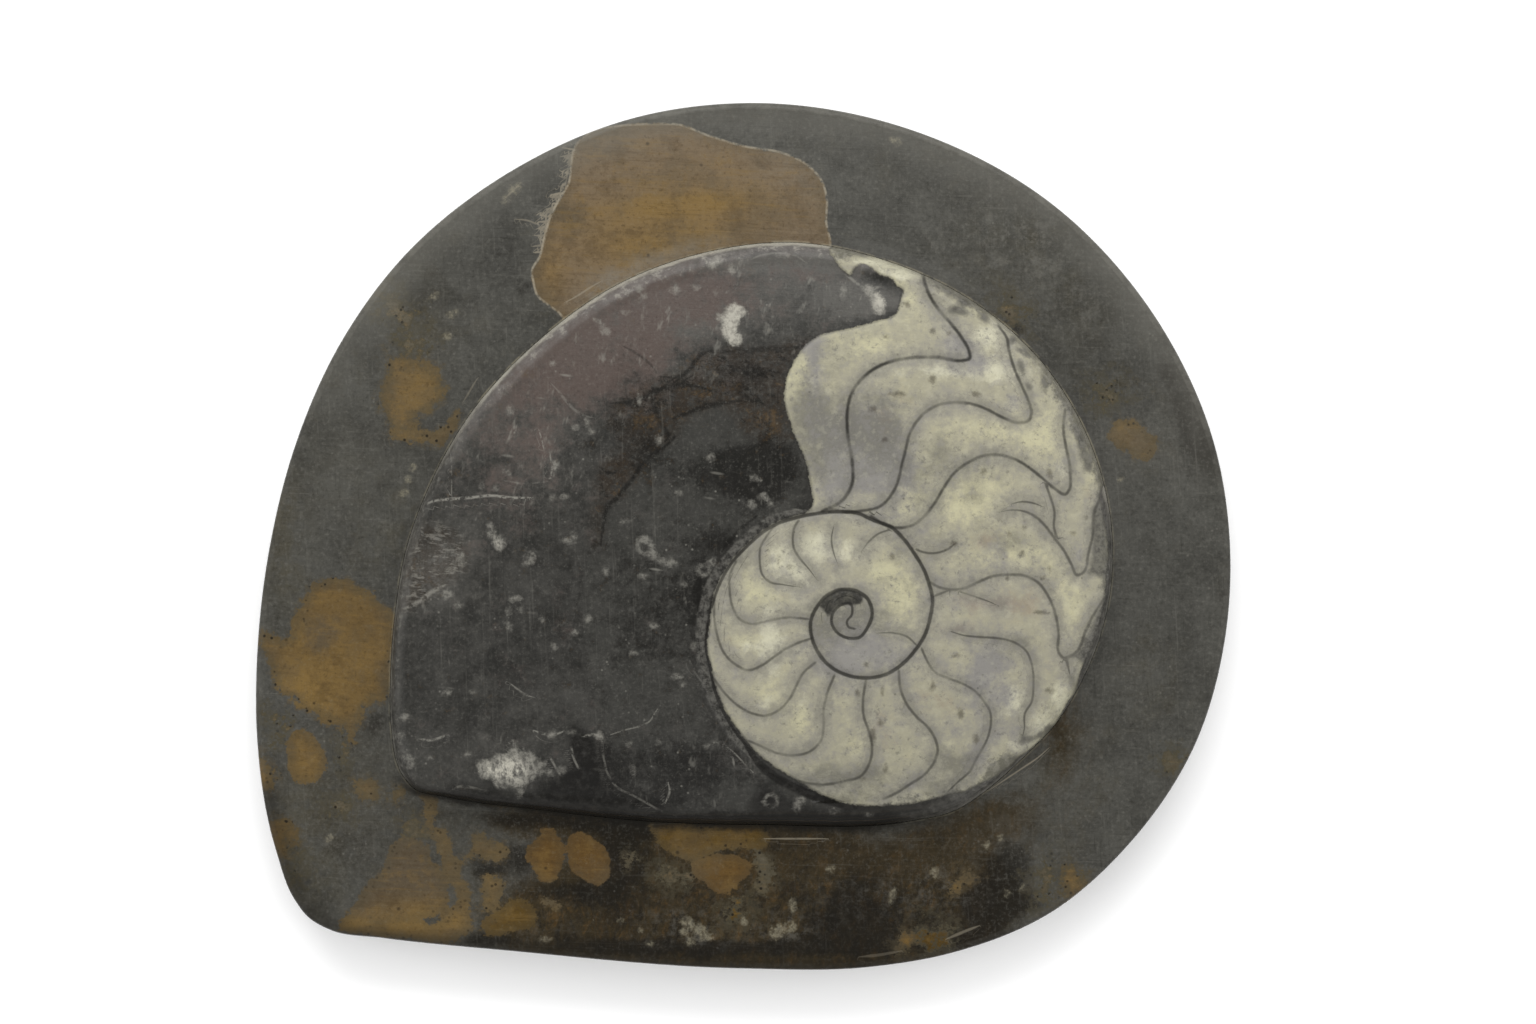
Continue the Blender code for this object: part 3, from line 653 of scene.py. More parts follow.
SCRATCHES: Sequence[Line] = (
    Line(((-46.0, 4.2), (-44.4, 5.0), (-41.8, 5.3), (-39.0, 5.5), (-36.1, 5.8), (-33.2, 5.5),
         (-30.1, 5.5)), half=0.2, strength=0.9, start=0.6, end=0.3),
    Line(((-46.2, 4.9), (-45.7, 3.5)), half=0.24, strength=0.8),
    Line(((-29.2, 15.2), (-28.8, 13.9), (-28.5, 12.6)), half=0.11, strength=0.6),
    Line(((-27.6, 11.6), (-27.3, 9.8), (-27.5, 8.3)), half=0.13, strength=0.6),
    Line(((-42.3, 13.8), (-41.8, 11.2), (-41.7, 8.1), (-41.7, 5.2)), half=0.09, strength=0.45),
    Line(((-27.6, 22.0), (-26.3, 20.6), (-25.3, 19.3), (-24.0, 18.0), (-22.6, 17.2),
         (-21.0, 16.8)), half=0.2, strength=0.3, start=0.3, end=0.3, taper=0.3),
    Line(((-33.7, -20.7), (-32.4, -21.7), (-30.9, -22.7),
         (-29.5, -23.1)), half=0.14, strength=0.5, start=0.3, end=0.3, taper=0.3),
    Line(((-30.3, -27.6), (-28.5, -28.2), (-26.9, -28.3),
         (-25.2, -27.7)), half=0.18, strength=0.7, start=0.2, end=0.4, taper=0.3),
    Line(((-22.7, -28.6), (-21.2, -28.3), (-20.0, -28.7)), half=0.2, strength=0.7),
    Line(((-46.3, -29.0), (-44.7, -29.2), (-43.6, -28.9),
         (-42.3, -28.4)), half=0.18, strength=0.7, start=0.4, end=0.6),
    Line(((-19.7, -28.6), (-17.0, -27.7), (-14.5, -27.0), (-13.3, -26.4), (-12.5, -25.1),
         (-11.4, -23.7)), half=0.12, strength=0.55, start=0.4, end=0.2, taper=0.3),
    Line(((-10.7, -35.2), (-10.5, -36.5),
         (-11.2, -38.2)), half=0.16, strength=0.7, start=0.3, end=0.4, taper=0.3),
    Line(((-20.1, -29.0), (-19.9, -31.7), (-19.3, -34.0), (-18.0, -35.9), (-15.7, -37.1), (-13.4, -38.4),
         (-11.4, -39.5), (-9.1, -40.2)), half=0.16, strength=0.35, start=0.8, end=0.2),
    Line(((-2.8, -29.6), (-1.0, -31.2), (0.4, -32.7),
         (1.5, -33.8)), half=0.12, strength=0.55, start=0.2, end=0.4, taper=0.4),
    Line(((-48.3, -10.3), (-47.2, -9.8), (-45.7, -9.0), (-44.6, -8.0), (-43.6, -7.5),
         (-42.6, -7.0)), half=0.34, strength=0.6, start=0.4, end=0.4, taper=0.3),
    Line(((-32.8, -29.0), (-32.4, -31.0), (-31.8, -32.9)), half=0.2, strength=0.8, start=0.2, end=1),
    Line(((-30.5, -30.4), (-30.1, -32.5), (-29.5, -34.3)), half=0.16, strength=0.7),
    Line(((-27.5, -31.7), (-26.8, -33.0), (-26.2, -34.0)), half=0.16, strength=0.6),
    Line(((-24.5, -30.4), (-24.2, -31.7), (-23.6, -33.0)), half=0.16, strength=0.6),
    Line(((-42.1, -36.5), (-40.7, -35.8), (-39.0, -35.9),
         (-37.1, -36.3)), half=0.2, strength=0.3, start=0.3, end=0.3, taper=0.3),
    Line(((-33.9, 7.9), (-31.4, 7.5), (-28.0, 7.8)), half=0.11, strength=0.3),
    Line(((-7.6, -17.8), (-6.8, -19.5), (-5.4, -21.3)), half=0.14, strength=0.25),
    Line(((0.7, 39.4), (2.7, 40.2), (5.0, 40.5), (7.6, 40.1),
         (9.0, 39.1)), half=0.15, strength=0.35, start=0.3, end=0.3),
    Line(((14.8, 37.4), (16.2, 36.2), (17.9, 35.3), (19.4, 35.6)), half=0.22, strength=0.5),
)

LILAC = tints(
    (34.9, -18.5, 4.3, 4.3, 1), (36.9, -23.8, 2.3, 2.9, 0.5), (33.3, -31.6, 1.7, 2.3, 0.6),
    (33.3, 25.0, 2.3, 2, 0.75), (29.4, 27.4, 2, 2, 0.5), (16.8, -17.1, 6.3, 2.6, 1),
    (14.6, -12.8, 5.7, 6, 0.55), (19.1, 14.4, 3.4, 6.3, 0.75), (31.1, -27.1, 2, 4.3, 0.3),
    (44.1, 8.6, 1.4, 1.7, 0.5), (38.6, 19.0, 1.7, 1.4, 0.5), (24.7, 0.6, 2.3, 1.7, 0.45),
    (23.2, 8.1, 1.1, 3.2, 0.35), (48.1, -2.9, 0.86, 2, 0.5), (36.9, -28.6, 3.7, 2.6, 0.5),
    (23.2, -35.8, 3.7, 1.4, 0.4), (-2.6, -9.2, 1.1, 4.3, 0.4), (-1.2, -19.0, 1.4, 2.9, 0.3),
    (12.5, 8.8, 2, 4.9, 0.5),
    (19.6, 8.1, 7.8, 6.3, 0.6), (16.8, 13.8, 4.3, 4.3, 0.6), (36.9, -3.4, 5.7, 3.4, 0.4),
    (28.3, -7.8, 4.3, 5.7, 0.4), (22.5, -23.6, 10.1, 7.2, 0.25), (31.1, 26.7, 4.3, 5.7, 0.3),
    (9.9, 26.7, 2.3, 5.7, 0.4), (10.2, 17.4, 2, 4.3, 0.4), (27.5, 16.7, 3.4, 1.7, 0.4),
    (15.3, 16.0, 3.7, 2.3, 0.3), (23.2, -16.4, 2.3, 1.7, 0.2),
    (10.2, 16.7, 2.6, 7.2, 0.4), (9.9, 27.4, 2, 4.3, 0.3),
)

CREAM = tints(
    (31.9, 5.2, 5.5, 3.4, 1), (38.0, -2.9, 7.2, 2, 0.7), (46.7, -9.2, 2, 4.3, 0.9),
    (42.9, 14.9, 4.3, 3.7, 1), (35.4, 29.6, 2.3, 2, 0.45), (34.7, 15.2, 5.7, 2, 0.6),
    (22.5, -8.5, 2.3, 4.3, 0.9), (2.4, -7.5, 2.3, 2, 1), (8.2, 23.6, 2.6, 3.4, 0.6),
    (28.3, -30.0, 1.7, 2, 0.4), (4.6, -23.6, 2.9, 2.9, 0.6), (8.2, -25.3, 1.7, 3.2, 0.6),
    (16.8, -29.6, 2.3, 3.7, 0.4), (18.2, 27.4, 3.4, 1.7, 0.5), (23.2, 33.9, 2.6, 2.9, 0.5),
    (49.8, 8.1, 1.1, 1.7, 0.4), (19.6, -4.9, 2.9, 2, 0.5), (1.3, -14.9, 2.3, 1.4, 0.5),
    (23.2, 4.5, 1.7, 2.9, 0.6),
    (23.2, -18.1, 1.7, 1.4, 0.6), (18.2, 26.7, 4.3, 1.7, 0.3),
)

WHITE = tints(
    (29.0, 23.6, 6.3, 1.1, 0.8), (36.9, 23.3, 2.9, 2, 0.5), (11.0, -0.9, 2.3, 1.7, 0.9),
    (15.3, -2.0, 2.9, 1.4, 0.5), (39.0, 18.8, 1.7, 1.4, 0.4), (45.8, 9.5, 1.4, 1.7, 0.5),
    (10.3, 13.1, 1.7, 3.2, 0.3), (23.2, 37.5, 3.7, 1.1, 0.6), (18.2, 39.4, 3.2, 0.72, 0.6),
    (8.2, -23.6, 1.4, 2.6, 0.4), (2.4, -24.3, 1.7, 1.7, 0.5), (0.3, -15.7, 1.7, 1.4, 0.5),
    (34.7, 28.9, 2, 1.7, 0.6), (38.3, -22.1, 2.3, 2, 0.3), (41.9, 23.6, 1.4, 2, 0.3),
    (6.7, -15.7, 2.3, 1.1, 0.3),
    (43.8, -29.0, 2, 2, 0.8), (45.5, -23.6, 1.4, 2.3, 0.6), (36.9, 29.6, 2.3, 3.4, 0.4),
    (16.2, -17.2, 3.4, 1.3, 0.6), (6.4, -3.4, 2.6, 3.2, 0.2), (4.1, -14.4, 2, 3.2, 0.3),
    (48.4, -19.2, 1.1, 1.7, 0.5), (22.5, 39.4, 4.3, 0.9, 0.5),
    (42.6, -26.7, 2.3, 2.9, 0.45), (46.4, -23.6, 2, 3.2, 0.45), (39.8, -30.0, 2.6, 1.4, 0.7),
    (8.2, -5.6, 2.9, 4.9, 0.5), (13.6, -2.9, 3.2, 1.7, 0.4), (38.3, -23.8, 2, 2.3, 0.7),
    (3.8, -14.9, 1.7, 5.7, 0.3), (36.9, 26.7, 4.3, 4.3, 0.3), (23.2, 37.9, 3.7, 1.1, 0.4),
    (5.3, -3.4, 3.4, 4.3, 0.4), (3.8, -16.4, 2, 7.2, 0.3), (45.5, -29.3, 2, 2, 0.6),
    (51.3, -23.6, 1.4, 1.7, 0.5), (37.6, -5.6, 1.4, 2.3, 0.3),
    (15.6, -17.8, 2, 1.7, 0.5), (44.1, -29.6, 2.9, 2, 0.4),
)

TAN = tints(
    (34.3, -9.5, 5.7, 1.3, 0.75), (40.0, -10.0, 2.9, 2.3, 0.5), (31.1, -13.2, 3.2, 0.86, 0.5),
    (28.3, -23.8, 2.6, 2, 0.45), (19.9, -27.6, 2, 3.4, 0.45), (25.4, -22.4, 1.4, 2, 0.3),
    (34.7, -0.7, 2, 1.4, 0.7), (49.8, 5.2, 1.1, 4.3, 0.35), (20.4, 16.7, 2.9, 3.7, 0.4),
    (45.5, -17.8, 2, 2, 0.3), (31.1, -13.5, 1.4, 0.57, 0.4), (17.9, -3.4, 2.3, 1.1, 0.2),
)

# Greyer calcite, and painted shade by the coil's left edge
SMOKE_AND_SHADE = tints(
    (30.4, -32.2, 3.4, 1.7, 1), (19.9, 19.8, 4.3, 1.3, 0.5), (-0.2, -3.4, 1.9, 2.2, 0.7),
    (12.5, -14.9, 1.7, 2.3, 0.5), (9.0, 19.0, 2.9, 1.7, 0.45), (8.2, 14.5, 1.4, 4.3, 0.25),
    (12.5, 8.1, 2.3, 4.3, 0.2), (19.6, 13.8, 3.2, 4.3, 0.35), (24.7, -0.6, 2, 1.1, 0.35),
    (36.9, -14.9, 5.7, 0.57, 0.4), (40.9, -28.6, 1.4, 0.86, 0.5), (38.3, -32.2, 3.4, 1.1, 0.25),
    (16.8, -9.2, 2, 1.4, 0.3), (11.3, -10.0, 1.7, 1.7, 0.4), (29.0, 33.9, 1.4, 1.4, 0.4),
    (49.8, -12.8, 1.4, 3.4, 0.3), (18.2, -36.5, 4.3, 1.1, 0.25), (-1.9, -12.8, 0.86, 4.3, 0.25),
    (9.9, 17.0, 2, 1.4, 1.3), (14.8, 16.1, 3.4, 2.6, 0.8), (20.8, 15.5, 2.3, 3.4, 0.75),
    (10.7, 10.6, 1.7, 2.9, 0.6), (23.2, 10.1, 3.7, 2, 0.45), (27.7, 12.1, 1.7, 1.7, 0.5),
    (33.1, 5.2, 2, 1.3, 0.6), (10.7, 27.4, 2.3, 2.3, 0.35), (14.8, -11.2, 2.6, 2.3, 0.9),
    (10.3, -12.9, 1.1, 2.6, 0.6), (15.3, -34.0, 5.7, 1.7, 0.8), (27.7, -36.5, 2, 1.7, 0.7),
    (14.6, -37.9, 4.3, 1.1, 0.5), (38.6, -0.3, 1.7, 1.1, 0.4), (26.8, 5.2, 2, 1.4, 0.3),
    (15.3, 14.4, 6.3, 5.2, 0.42), (11.9, 16.1, 4.3, 4.3, 0.26), (19.6, 6.6, 8, 6.3, 0.3),
    (31.1, 9.5, 7.2, 4.9, 0.4), (35.7, -0.9, 4.9, 2.9, 0.4), (13.2, 21.7, 3.4, 4.3, 0.25),
    (26.8, -0.6, 5.7, 4.3, 0.25), (44.1, -3.4, 4.3, 5.7, 0.3), (23.2, -3.4, 4.3, 3.7, 0.25),
    (19.6, -12.8, 8.6, 7.2, 0.2), (15.3, -33.6, 10.1, 4.3, 0.25), (8.2, -1.3, 2.3, 4.3, 0.3),
    (9.0, 17.8, 1.7, 6.3, 0.6), (11.6, -12.3, 3.2, 2, 0.5), (28.6, -35.6, 3.4, 2, 0.6),
    (18.2, -10.9, 7.2, 2, 0.35), (38.3, -16.4, 4.3, 2.9, 0.3),
)

PURPLE = tints(
    (-18.0, 29.0, 16.7, 8.9, 1, 25), (-32.1, 12.9, 8.9, 12.1, 0.5), (-4.1, 36.1, 10.1, 3.7, 0.5),
    (-22.0, 24.6, 8.6, 4.3, 0.5),
    (-20.6, 33.9, 5.7, 2, 0.5, 28), (-32.1, 26.7, 4.3, 2.9, 0.4, 40),
    (8.2, 37.9, 5.7, 1.4, 0.3), (-23.5, 33.0, 5.7, 1.7, 0.4, 24),
)

PALER = tints(
    (-30.1, 16.0, 12.9, 13.9, 0.5), (-14.0, 32.0, 15.9, 7, 0.7, 20), (-41.0, -3.0, 5, 8, 0.35),
    (-36.1, -30.0, 8.9, 4, 0.25), (6.7, 35.3, 8.6, 4.3, 0.45), (-7.6, 29.6, 8.6, 2.9, 0.35),
    (49.0, 12.4, 1.1, 3.2, 1), (51.0, -1.3, 1.1, 4.9, 1), (50.1, -14.2, 1.4, 3.7, 1),
    (41.9, -28.7, 2.3, 1.1, 0.8), (29.7, 33.9, 2, 1.7, 0.6), (34.4, 31.3, 1.1, 1.1, 0.5),
    (-7.6, -33.6, 10.1, 7.2, 0.28), (-45.7, -5.6, 4, 4.9, 0.5), (42.6, 21.7, 1.4, 2, 0.6),
    (39.8, 25.3, 1.4, 2, 0.6), (15.3, 33.2, 4.3, 3.4, 0.3),
    (-7.6, 23.6, 7.2, 2, 0.35), (-42.1, 16.7, 2.3, 3.7, 0.4), (-49.0, -7.8, 1.1, 8.6, 0.6),
    (-48.2, 5.2, 1.4, 5.7, 0.4),
    (11.0, 39.4, 7.2, 1.7, 0.7), (15.3, 33.9, 3.4, 2, 0.5), (-0.5, 38.5, 7.2, 1.1, 0.4),
    (5.3, 27.4, 5.7, 2.9, 0.3), (0.3, 5.2, 8.6, 1.4, 0.25), (-7.6, -7.0, 1.1, 5.7, 0.5),
    (16.8, 33.9, 4.3, 2.3, 0.5), (21.1, 33.6, 3.7, 1.4, 0.5), (-12.7, 33.3, 3.4, 1.4, 0.6, 30),
    (44.1, 27.4, 1.4, 2.3, 0.5), (-13.1, -35.3, 3.2, 2, 0.4),
    (16.1, 39.4, 4.3, 1.1, 0.9), (26.8, 33.0, 2.9, 1.4, 0.7), (31.9, 27.4, 2, 1.4, 0.5),
    (3.8, 39.4, 5.7, 1.1, 0.3),
)

RUST = tints(
    (3.8, 16.1, 3.2, 2.6, 0.5), (-6.2, 24.4, 2.3, 1.3, 0.6), (-13.4, 16.0, 2.6, 2, 0.5),
    (-6.2, 20.7, 3.7, 1.1, 0.5), (-33.8, 21.7, 1.7, 1.1, 0.5), (-46.4, -5.2, 2.9, 3.4, 0.45),
    (-6.2, -40.8, 5.7, 0.57, 0.5), (-26.3, -38.8, 11.5, 0.57, 0.4), (-14.8, 9.5, 2.9, 2.9, 0.25),
    (-29.9, 23.6, 2, 0.86, 0.4), (-42.1, 9.5, 2, 5.7, 0.3),
    (-12.0, 16.7, 4.3, 1.7, 0.15), (-3.3, 20.3, 4.3, 2, 0.15),
)

# Darker body stone, also painted shade by the black wedge and along the fossil's low edge
BLACK = tints(
    (-22.7, -35.8, 5.5, 5.2, 0.35), (-14.8, -37.9, 10.1, 1.7, 0.4), (-14.8, 13.8, 4.3, 7.2, 0.4, 40),
    (-4.1, 21.7, 10.1, 4.3, 0.35), (4.6, 9.5, 4.9, 4.9, 0.55), (-4.1, -0.6, 4.3, 3.4, 0.35),
    (-23.5, 13.1, 3.7, 2.6, 0.35), (-32.1, 3.5, 5.2, 1.4, 0.3), (-45.0, -14.9, 3.7, 5.7, 0.15),
    (-6.2, -7.8, 2, 2.6, 0.5), (14.6, 32.2, 3.4, 1.7, 0.35), (19.6, 37.5, 2, 1.1, 0.4),
    (1.7, 23.9, 4.3, 1.7, 0.35), (-0.5, -14.9, 4.3, 8.6, 0.15),
    (0.7, 9.5, 5.7, 4.3, 0.5), (-7.6, -9.2, 8.6, 11.5, 0.12), (-6.2, -33.6, 8.6, 2.9, 0.2),
    (-3.3, 9.5, 7.2, 3.4, 0.3), (-14.8, -12.1, 15.8, 18.7, 0.42), (-20.6, -33.3, 3.7, 3.7, 0.6),
    (0.3, 8.1, 4.3, 4.3, 0.3),
    (-6.2, -33.3, 10.6, 4.9, 0.5), (-26.3, -37.2, 8.6, 1.7, 0.4), (16.8, -39.6, 8.6, 0.6, 0.4),
    (9.6, -35.8, 2.9, 2.3, 0.3), (-36.4, -35.0, 5.7, 1.1, 0.3), (-42.1, -1.3, 1.4, 4.3, 0.3),
)

LIGHT_LOBE = Area((
    (-12.7, 11.5), (-16.1, 7.2), (-19.4, 3.3), (-20.8, 0.0), (-22.3, -4.3), (-23.0, -10.0),
    (-22.0, -17.8),
    (-20.9, -26.4), (-20.1, -30.7), (-19.4, -33.5), (-18.4, -35.9), (-15.7, -36.8), (-13.1, -38.1),
    (-11.0, -39.5), (-6.5, -40.1), (1.3, -40.2), (2.4, -36.5), (-1.2, -32.2), (-6.2, -23.6),
    (-7.6, -14.9),
    (-6.2, -6.3), (-0.5, 0.9), (8.2, 5.2), (8.2, 13.8), (-0.5, 19.5), (-7.6, 18.1)))

# ---------------------------------------------------------------- what is drawn on the slab

NODULES: Sequence[Nodule] = (
    Nodule(Area(((-18.1, 58.9), (-13.4, 59.2), (-9.2, 59.1), (-5.2, 57.6), (0.1, 56.0), (6.0, 54.9),
        (9.2, 53.3), (11.3, 50.9), (12.0, 48.3), (11.9, 45.1), (12.5, 41.7), (8.2, 36.1), (-3.3, 35.1),
        (-14.8, 30.0), (-23.5, 28.0), (-26.6, 32.2), (-28.0, 33.2), (-29.5, 34.5), (-30.1, 36.5),
        (-30.3, 38.2), (-29.2, 40.1), (-28.6, 42.7), (-27.5, 46.3), (-26.3, 48.6), (-25.0, 50.9),
        (-24.7, 53.3), (-24.2, 55.9), (-21.7, 58.2))), 0.1, Tone.DUSTY, border=1.0),
    Nodule(Area(((-64.1, -10.9), (-63.4, -9.2), (-62.1, -7.3), (-60.1, -6.3), (-57.8, -6.2),
        (-55.8, -6.9),
        (-53.6, -8.5), (-51.8, -9.9), (-49.9, -11.8), (-49.6, -14.9), (-50.0, -17.8), (-50.5, -20.7),
        (-51.2, -23.3), (-52.9, -23.8), (-54.2, -25.3), (-55.3, -27.6), (-55.8, -30.0), (-56.9, -30.0),
        (-57.2, -27.6), (-58.6, -27.4), (-60.5, -26.7), (-62.2, -25.0), (-64.3, -23.8), (-66.1, -23.1),
        (-67.3, -21.5), (-68.3, -19.0), (-69.1, -17.1), (-70.1, -14.9), (-69.4, -13.5), (-67.7, -14.1),
        (-65.8, -14.4), (-64.7, -13.2))), 0.32, Tone.WARM),
    Nodule(Area(((-65.3, -29.0), (-64.5, -28.0), (-63.2, -27.7), (-62.0, -28.6), (-60.7, -30.0),
        (-59.9, -31.9), (-60.1, -33.6), (-61.1, -35.2), (-63.0, -35.6), (-64.5, -35.2), (-65.5, -33.6),
        (-65.5, -31.0))), 0.16, Tone.WARM),
    Nodule(Area(((-56.2, -35.0), (-54.8, -34.5), (-53.0, -34.8), (-52.2, -36.1), (-52.6, -37.3),
        (-53.8, -37.8), (-55.1, -37.2))), 0.35, Tone.PLAIN),
    Nodule(Spot((-49.6, -37.3), (0.72, 1.1), -25), 0.4, Tone.PLAIN),
    Nodule(Spot((-57.9, -38.8), (1.3, 1)), 0.9, Tone.SMOKY),
    Nodule(Spot((-57.1, -32.2), (0.72, 1.3)), 0.8, Tone.SMOKY),
    Nodule(Area(((-70.0, -31.0), (-68.6, -31.7), (-67.6, -33.3), (-67.0, -35.3), (-68.0, -36.6),
        (-69.7, -37.1), (-70.9, -35.0))), 0.4, Tone.WARM),
    Nodule(Area(((-68.6, -41.4), (-65.8, -41.1), (-64.1, -42.5), (-64.3, -44.5), (-65.4, -46.1),
        (-67.1, -46.3), (-68.8, -44.4))), 0.45, Tone.WARM),
    Nodule(Spot((-65.1, -48.7), (1, 0.86)), 0.9, Tone.SMOKY),
    Nodule(Area(((-67.7, -30.0), (-66.6, -29.0), (-65.5, -27.4), (-65.1, -27.9), (-65.8, -29.3),
        (-67.1, -30.4))), 0.8, Tone.SMOKY),
    Nodule(Spot((-57.2, -29.3), (0.72, 1.4)), 0.8, Tone.PLAIN),
    Nodule(Spot((-67.3, -25.7), (2.6, 0.43), -12), 0.9, Tone.SMOKY),
    Nodule(Area(((-49.7, -44.1), (-48.3, -43.4), (-46.4, -43.7), (-45.0, -44.7), (-44.6, -46.3),
        (-43.4, -47.8), (-42.5, -49.8), (-42.2, -52.2), (-43.4, -54.4), (-46.0, -55.2), (-49.0, -55.6),
        (-52.6, -56.0), (-55.8, -56.6), (-58.2, -56.6), (-56.2, -53.6), (-54.2, -50.4), (-52.2, -48.0),
        (-51.2, -46.5), (-50.5, -45.1))), 0.2, Tone.ASHEN),
    Nodule(Area(((-46.4, -36.2), (-45.3, -36.1), (-44.0, -36.8), (-43.6, -37.9), (-43.6, -39.4),
        (-44.0, -40.5), (-44.6, -41.5), (-43.1, -41.9), (-42.1, -42.9), (-41.8, -44.7), (-41.7, -45.8),
        (-40.4, -46.5), (-40.3, -47.5), (-40.3, -49.0), (-39.7, -49.8), (-39.3, -51.3), (-39.3, -53.3),
        (-38.8, -54.9), (-38.8, -56.6), (-39.5, -57.7), (-41.1, -58.5), (-45.0, -58.3), (-49.7, -58.0),
        (-54.6, -57.3), (-58.2, -56.3), (-57.9, -55.2), (-56.5, -54.0), (-55.1, -53.3), (-53.6, -53.3),
        (-52.2, -54.6), (-49.7, -54.7), (-47.4, -54.7), (-46.0, -54.9), (-44.6, -55.4), (-43.1, -54.2),
        (-41.7, -53.0), (-41.1, -51.6), (-41.7, -50.4), (-42.6, -49.4), (-43.3, -48.0), (-43.6, -46.3),
        (-44.0, -45.1), (-44.1, -43.7), (-44.6, -42.5), (-45.3, -41.5), (-45.7, -39.8), (-46.0, -38.4),
        (-46.4, -37.5))), 0.22, Tone.PLAIN),
    Nodule(Area(((-39.0, -42.7), (-37.8, -42.5), (-36.7, -43.2), (-35.4, -44.0), (-33.9, -44.1),
        (-33.9, -45.5), (-35.2, -46.8), (-36.7, -46.8), (-37.8, -46.3), (-39.3, -46.3), (-40.1, -47.1),
        (-40.5, -46.3), (-39.5, -45.1), (-39.0, -44.0))), 0.3, Tone.PLAIN),
    Nodule(Area(((-36.8, -48.7), (-35.4, -49.0), (-34.2, -49.7), (-34.5, -51.3), (-35.2, -52.7),
        (-35.7, -54.0), (-36.8, -54.0), (-37.8, -53.3), (-37.5, -51.9), (-37.4, -50.4))),
        0.3, Tone.PLAIN),
    Nodule(Area(((-33.5, -52.0), (-31.8, -52.0), (-30.6, -53.0), (-29.6, -54.7), (-30.2, -56.2),
        (-31.6, -56.6), (-33.5, -56.9), (-35.4, -57.6), (-37.4, -57.0), (-37.8, -56.2), (-37.1, -54.9),
        (-35.7, -54.2), (-34.5, -53.3))), 0.2, Tone.AMBER),
    Nodule(Area(((-48.7, -41.1), (-47.6, -40.2), (-47.0, -39.4), (-46.4, -40.1), (-46.2, -41.4),
        (-45.3, -42.5), (-45.9, -43.4), (-47.6, -43.1), (-48.6, -42.5))), 0.6, Tone.SMOKY),
    Nodule(Spot((-28.0, -52.6), (1.3, 0.7), -25), 0.3, Tone.PLAIN),
    Nodule(Spot((-65.1, -45.4), (0.9, 1.2)), 0.8, Tone.SMOKY),
    Nodule(Area(((53.0, 16.0), (54.8, 17.0), (57.0, 16.0), (58.7, 14.5), (59.6, 12.4), (58.4, 10.9),
        (56.3, 11.2), (54.1, 12.1), (52.7, 13.8))), 0.25, Tone.PLAIN),
    Nodule(Area(((-29.8, -43.4), (-28.3, -41.8), (-26.9, -42.1), (-26.0, -44.0), (-25.9, -46.5),
        (-26.6, -49.1), (-28.0, -49.8), (-29.5, -49.4), (-30.5, -47.4), (-31.5, -46.1))),
        0.14, Tone.RICH),
    Nodule(Area(((-24.5, -42.8), (-23.2, -42.4), (-21.6, -43.1), (-20.0, -44.5), (-19.1, -46.5),
        (-19.4, -48.8), (-20.3, -50.1), (-21.4, -50.1), (-23.2, -49.0), (-24.7, -47.8), (-25.2, -45.8))),
        0.08, Tone.RICH),
    Nodule(Spot((-16.3, -46.1), (0.5, 1.1)), 0.5, Tone.SMOKY),
    Nodule(Area(((-13.1, -41.7), (-6.2, -41.4), (3.0, -41.5), (3.6, -43.1), (3.0, -44.8), (-0.2, -44.8),
        (-3.1, -45.1), (-5.9, -46.3), (-7.4, -47.0), (-9.7, -46.1), (-11.4, -44.8), (-12.7, -43.4))),
        0.25, Tone.AMBER),
    Nodule(Spot((-9.4, -44.0), (1, 0.57), 20), 0.4, Tone.RICH),
    Nodule(Area(((-7.6, -47.1), (-5.6, -46.0), (-2.6, -45.7), (-0.3, -46.0), (1.1, -47.1), (0.7, -48.8),
        (-0.8, -50.1), (-1.9, -51.3), (-3.3, -51.3), (-5.1, -50.4), (-6.6, -49.0))), 0.14, Tone.RICH),
    Nodule(Area(((1.3, -44.5), (2.7, -45.4), (3.6, -46.8), (3.8, -49.4), (3.3, -51.1), (2.4, -50.0),
        (2.4, -47.7), (1.5, -46.3))), 0.6, Tone.SMOKY),
    Nodule(Spot((-9.8, -48.3), (2.3, 1.1), -15), 0.9, Tone.SMOKY),
    Nodule(Spot((-1.2, -53.4), (1.7, 1.3), 30), 1.0, Tone.AMBER),
    Nodule(Area(((-51.3, 26.7), (-50.0, 25.7), (-48.2, 25.1), (-45.7, 25.0), (-43.9, 23.6), (-43.3, 21.3),
        (-43.6, 19.3), (-45.0, 17.8), (-46.4, 17.2), (-46.7, 15.5), (-48.6, 14.7), (-50.5, 14.9),
        (-51.0, 17.0), (-51.9, 18.8), (-51.9, 21.3), (-51.0, 23.6))), 0.4, Tone.PLAIN),
    Nodule(Area(((-52.5, 35.1), (-50.7, 34.6), (-49.3, 33.0), (-48.2, 31.6), (-47.0, 29.9), (-45.6, 27.9),
        (-47.0, 26.4), (-48.7, 27.0), (-49.3, 29.0), (-50.2, 31.0), (-51.6, 32.8))), 1.0, Tone.SMOKY),
    Nodule(Area(((-51.0, 14.9), (-49.0, 16.1), (-46.7, 15.2), (-44.1, 15.2), (-42.4, 17.0), (-41.0, 18.1),
        (-41.0, 15.8), (-42.4, 13.8), (-46.4, 13.5), (-49.9, 13.5))), 0.3, Tone.PLAIN),
    Nodule(Spot((52.7, 20.3), (1.7, 2)), 1.0, Tone.SMOKY),
    Nodule(Spot((61.9, -32.5), (1.9, 1), 25), 0.8, Tone.SMOKY),
    Nodule(Area(((45.8, -52.6), (45.5, -50.0), (46.1, -47.7), (47.2, -47.1), (48.4, -48.3), (49.2, -49.7),
        (49.8, -51.1), (47.5, -52.3))), 0.6, Tone.WARM),
    Nodule(Spot((43.6, -49.4), (1.1, 1.9)), 1.0, Tone.SMOKY),
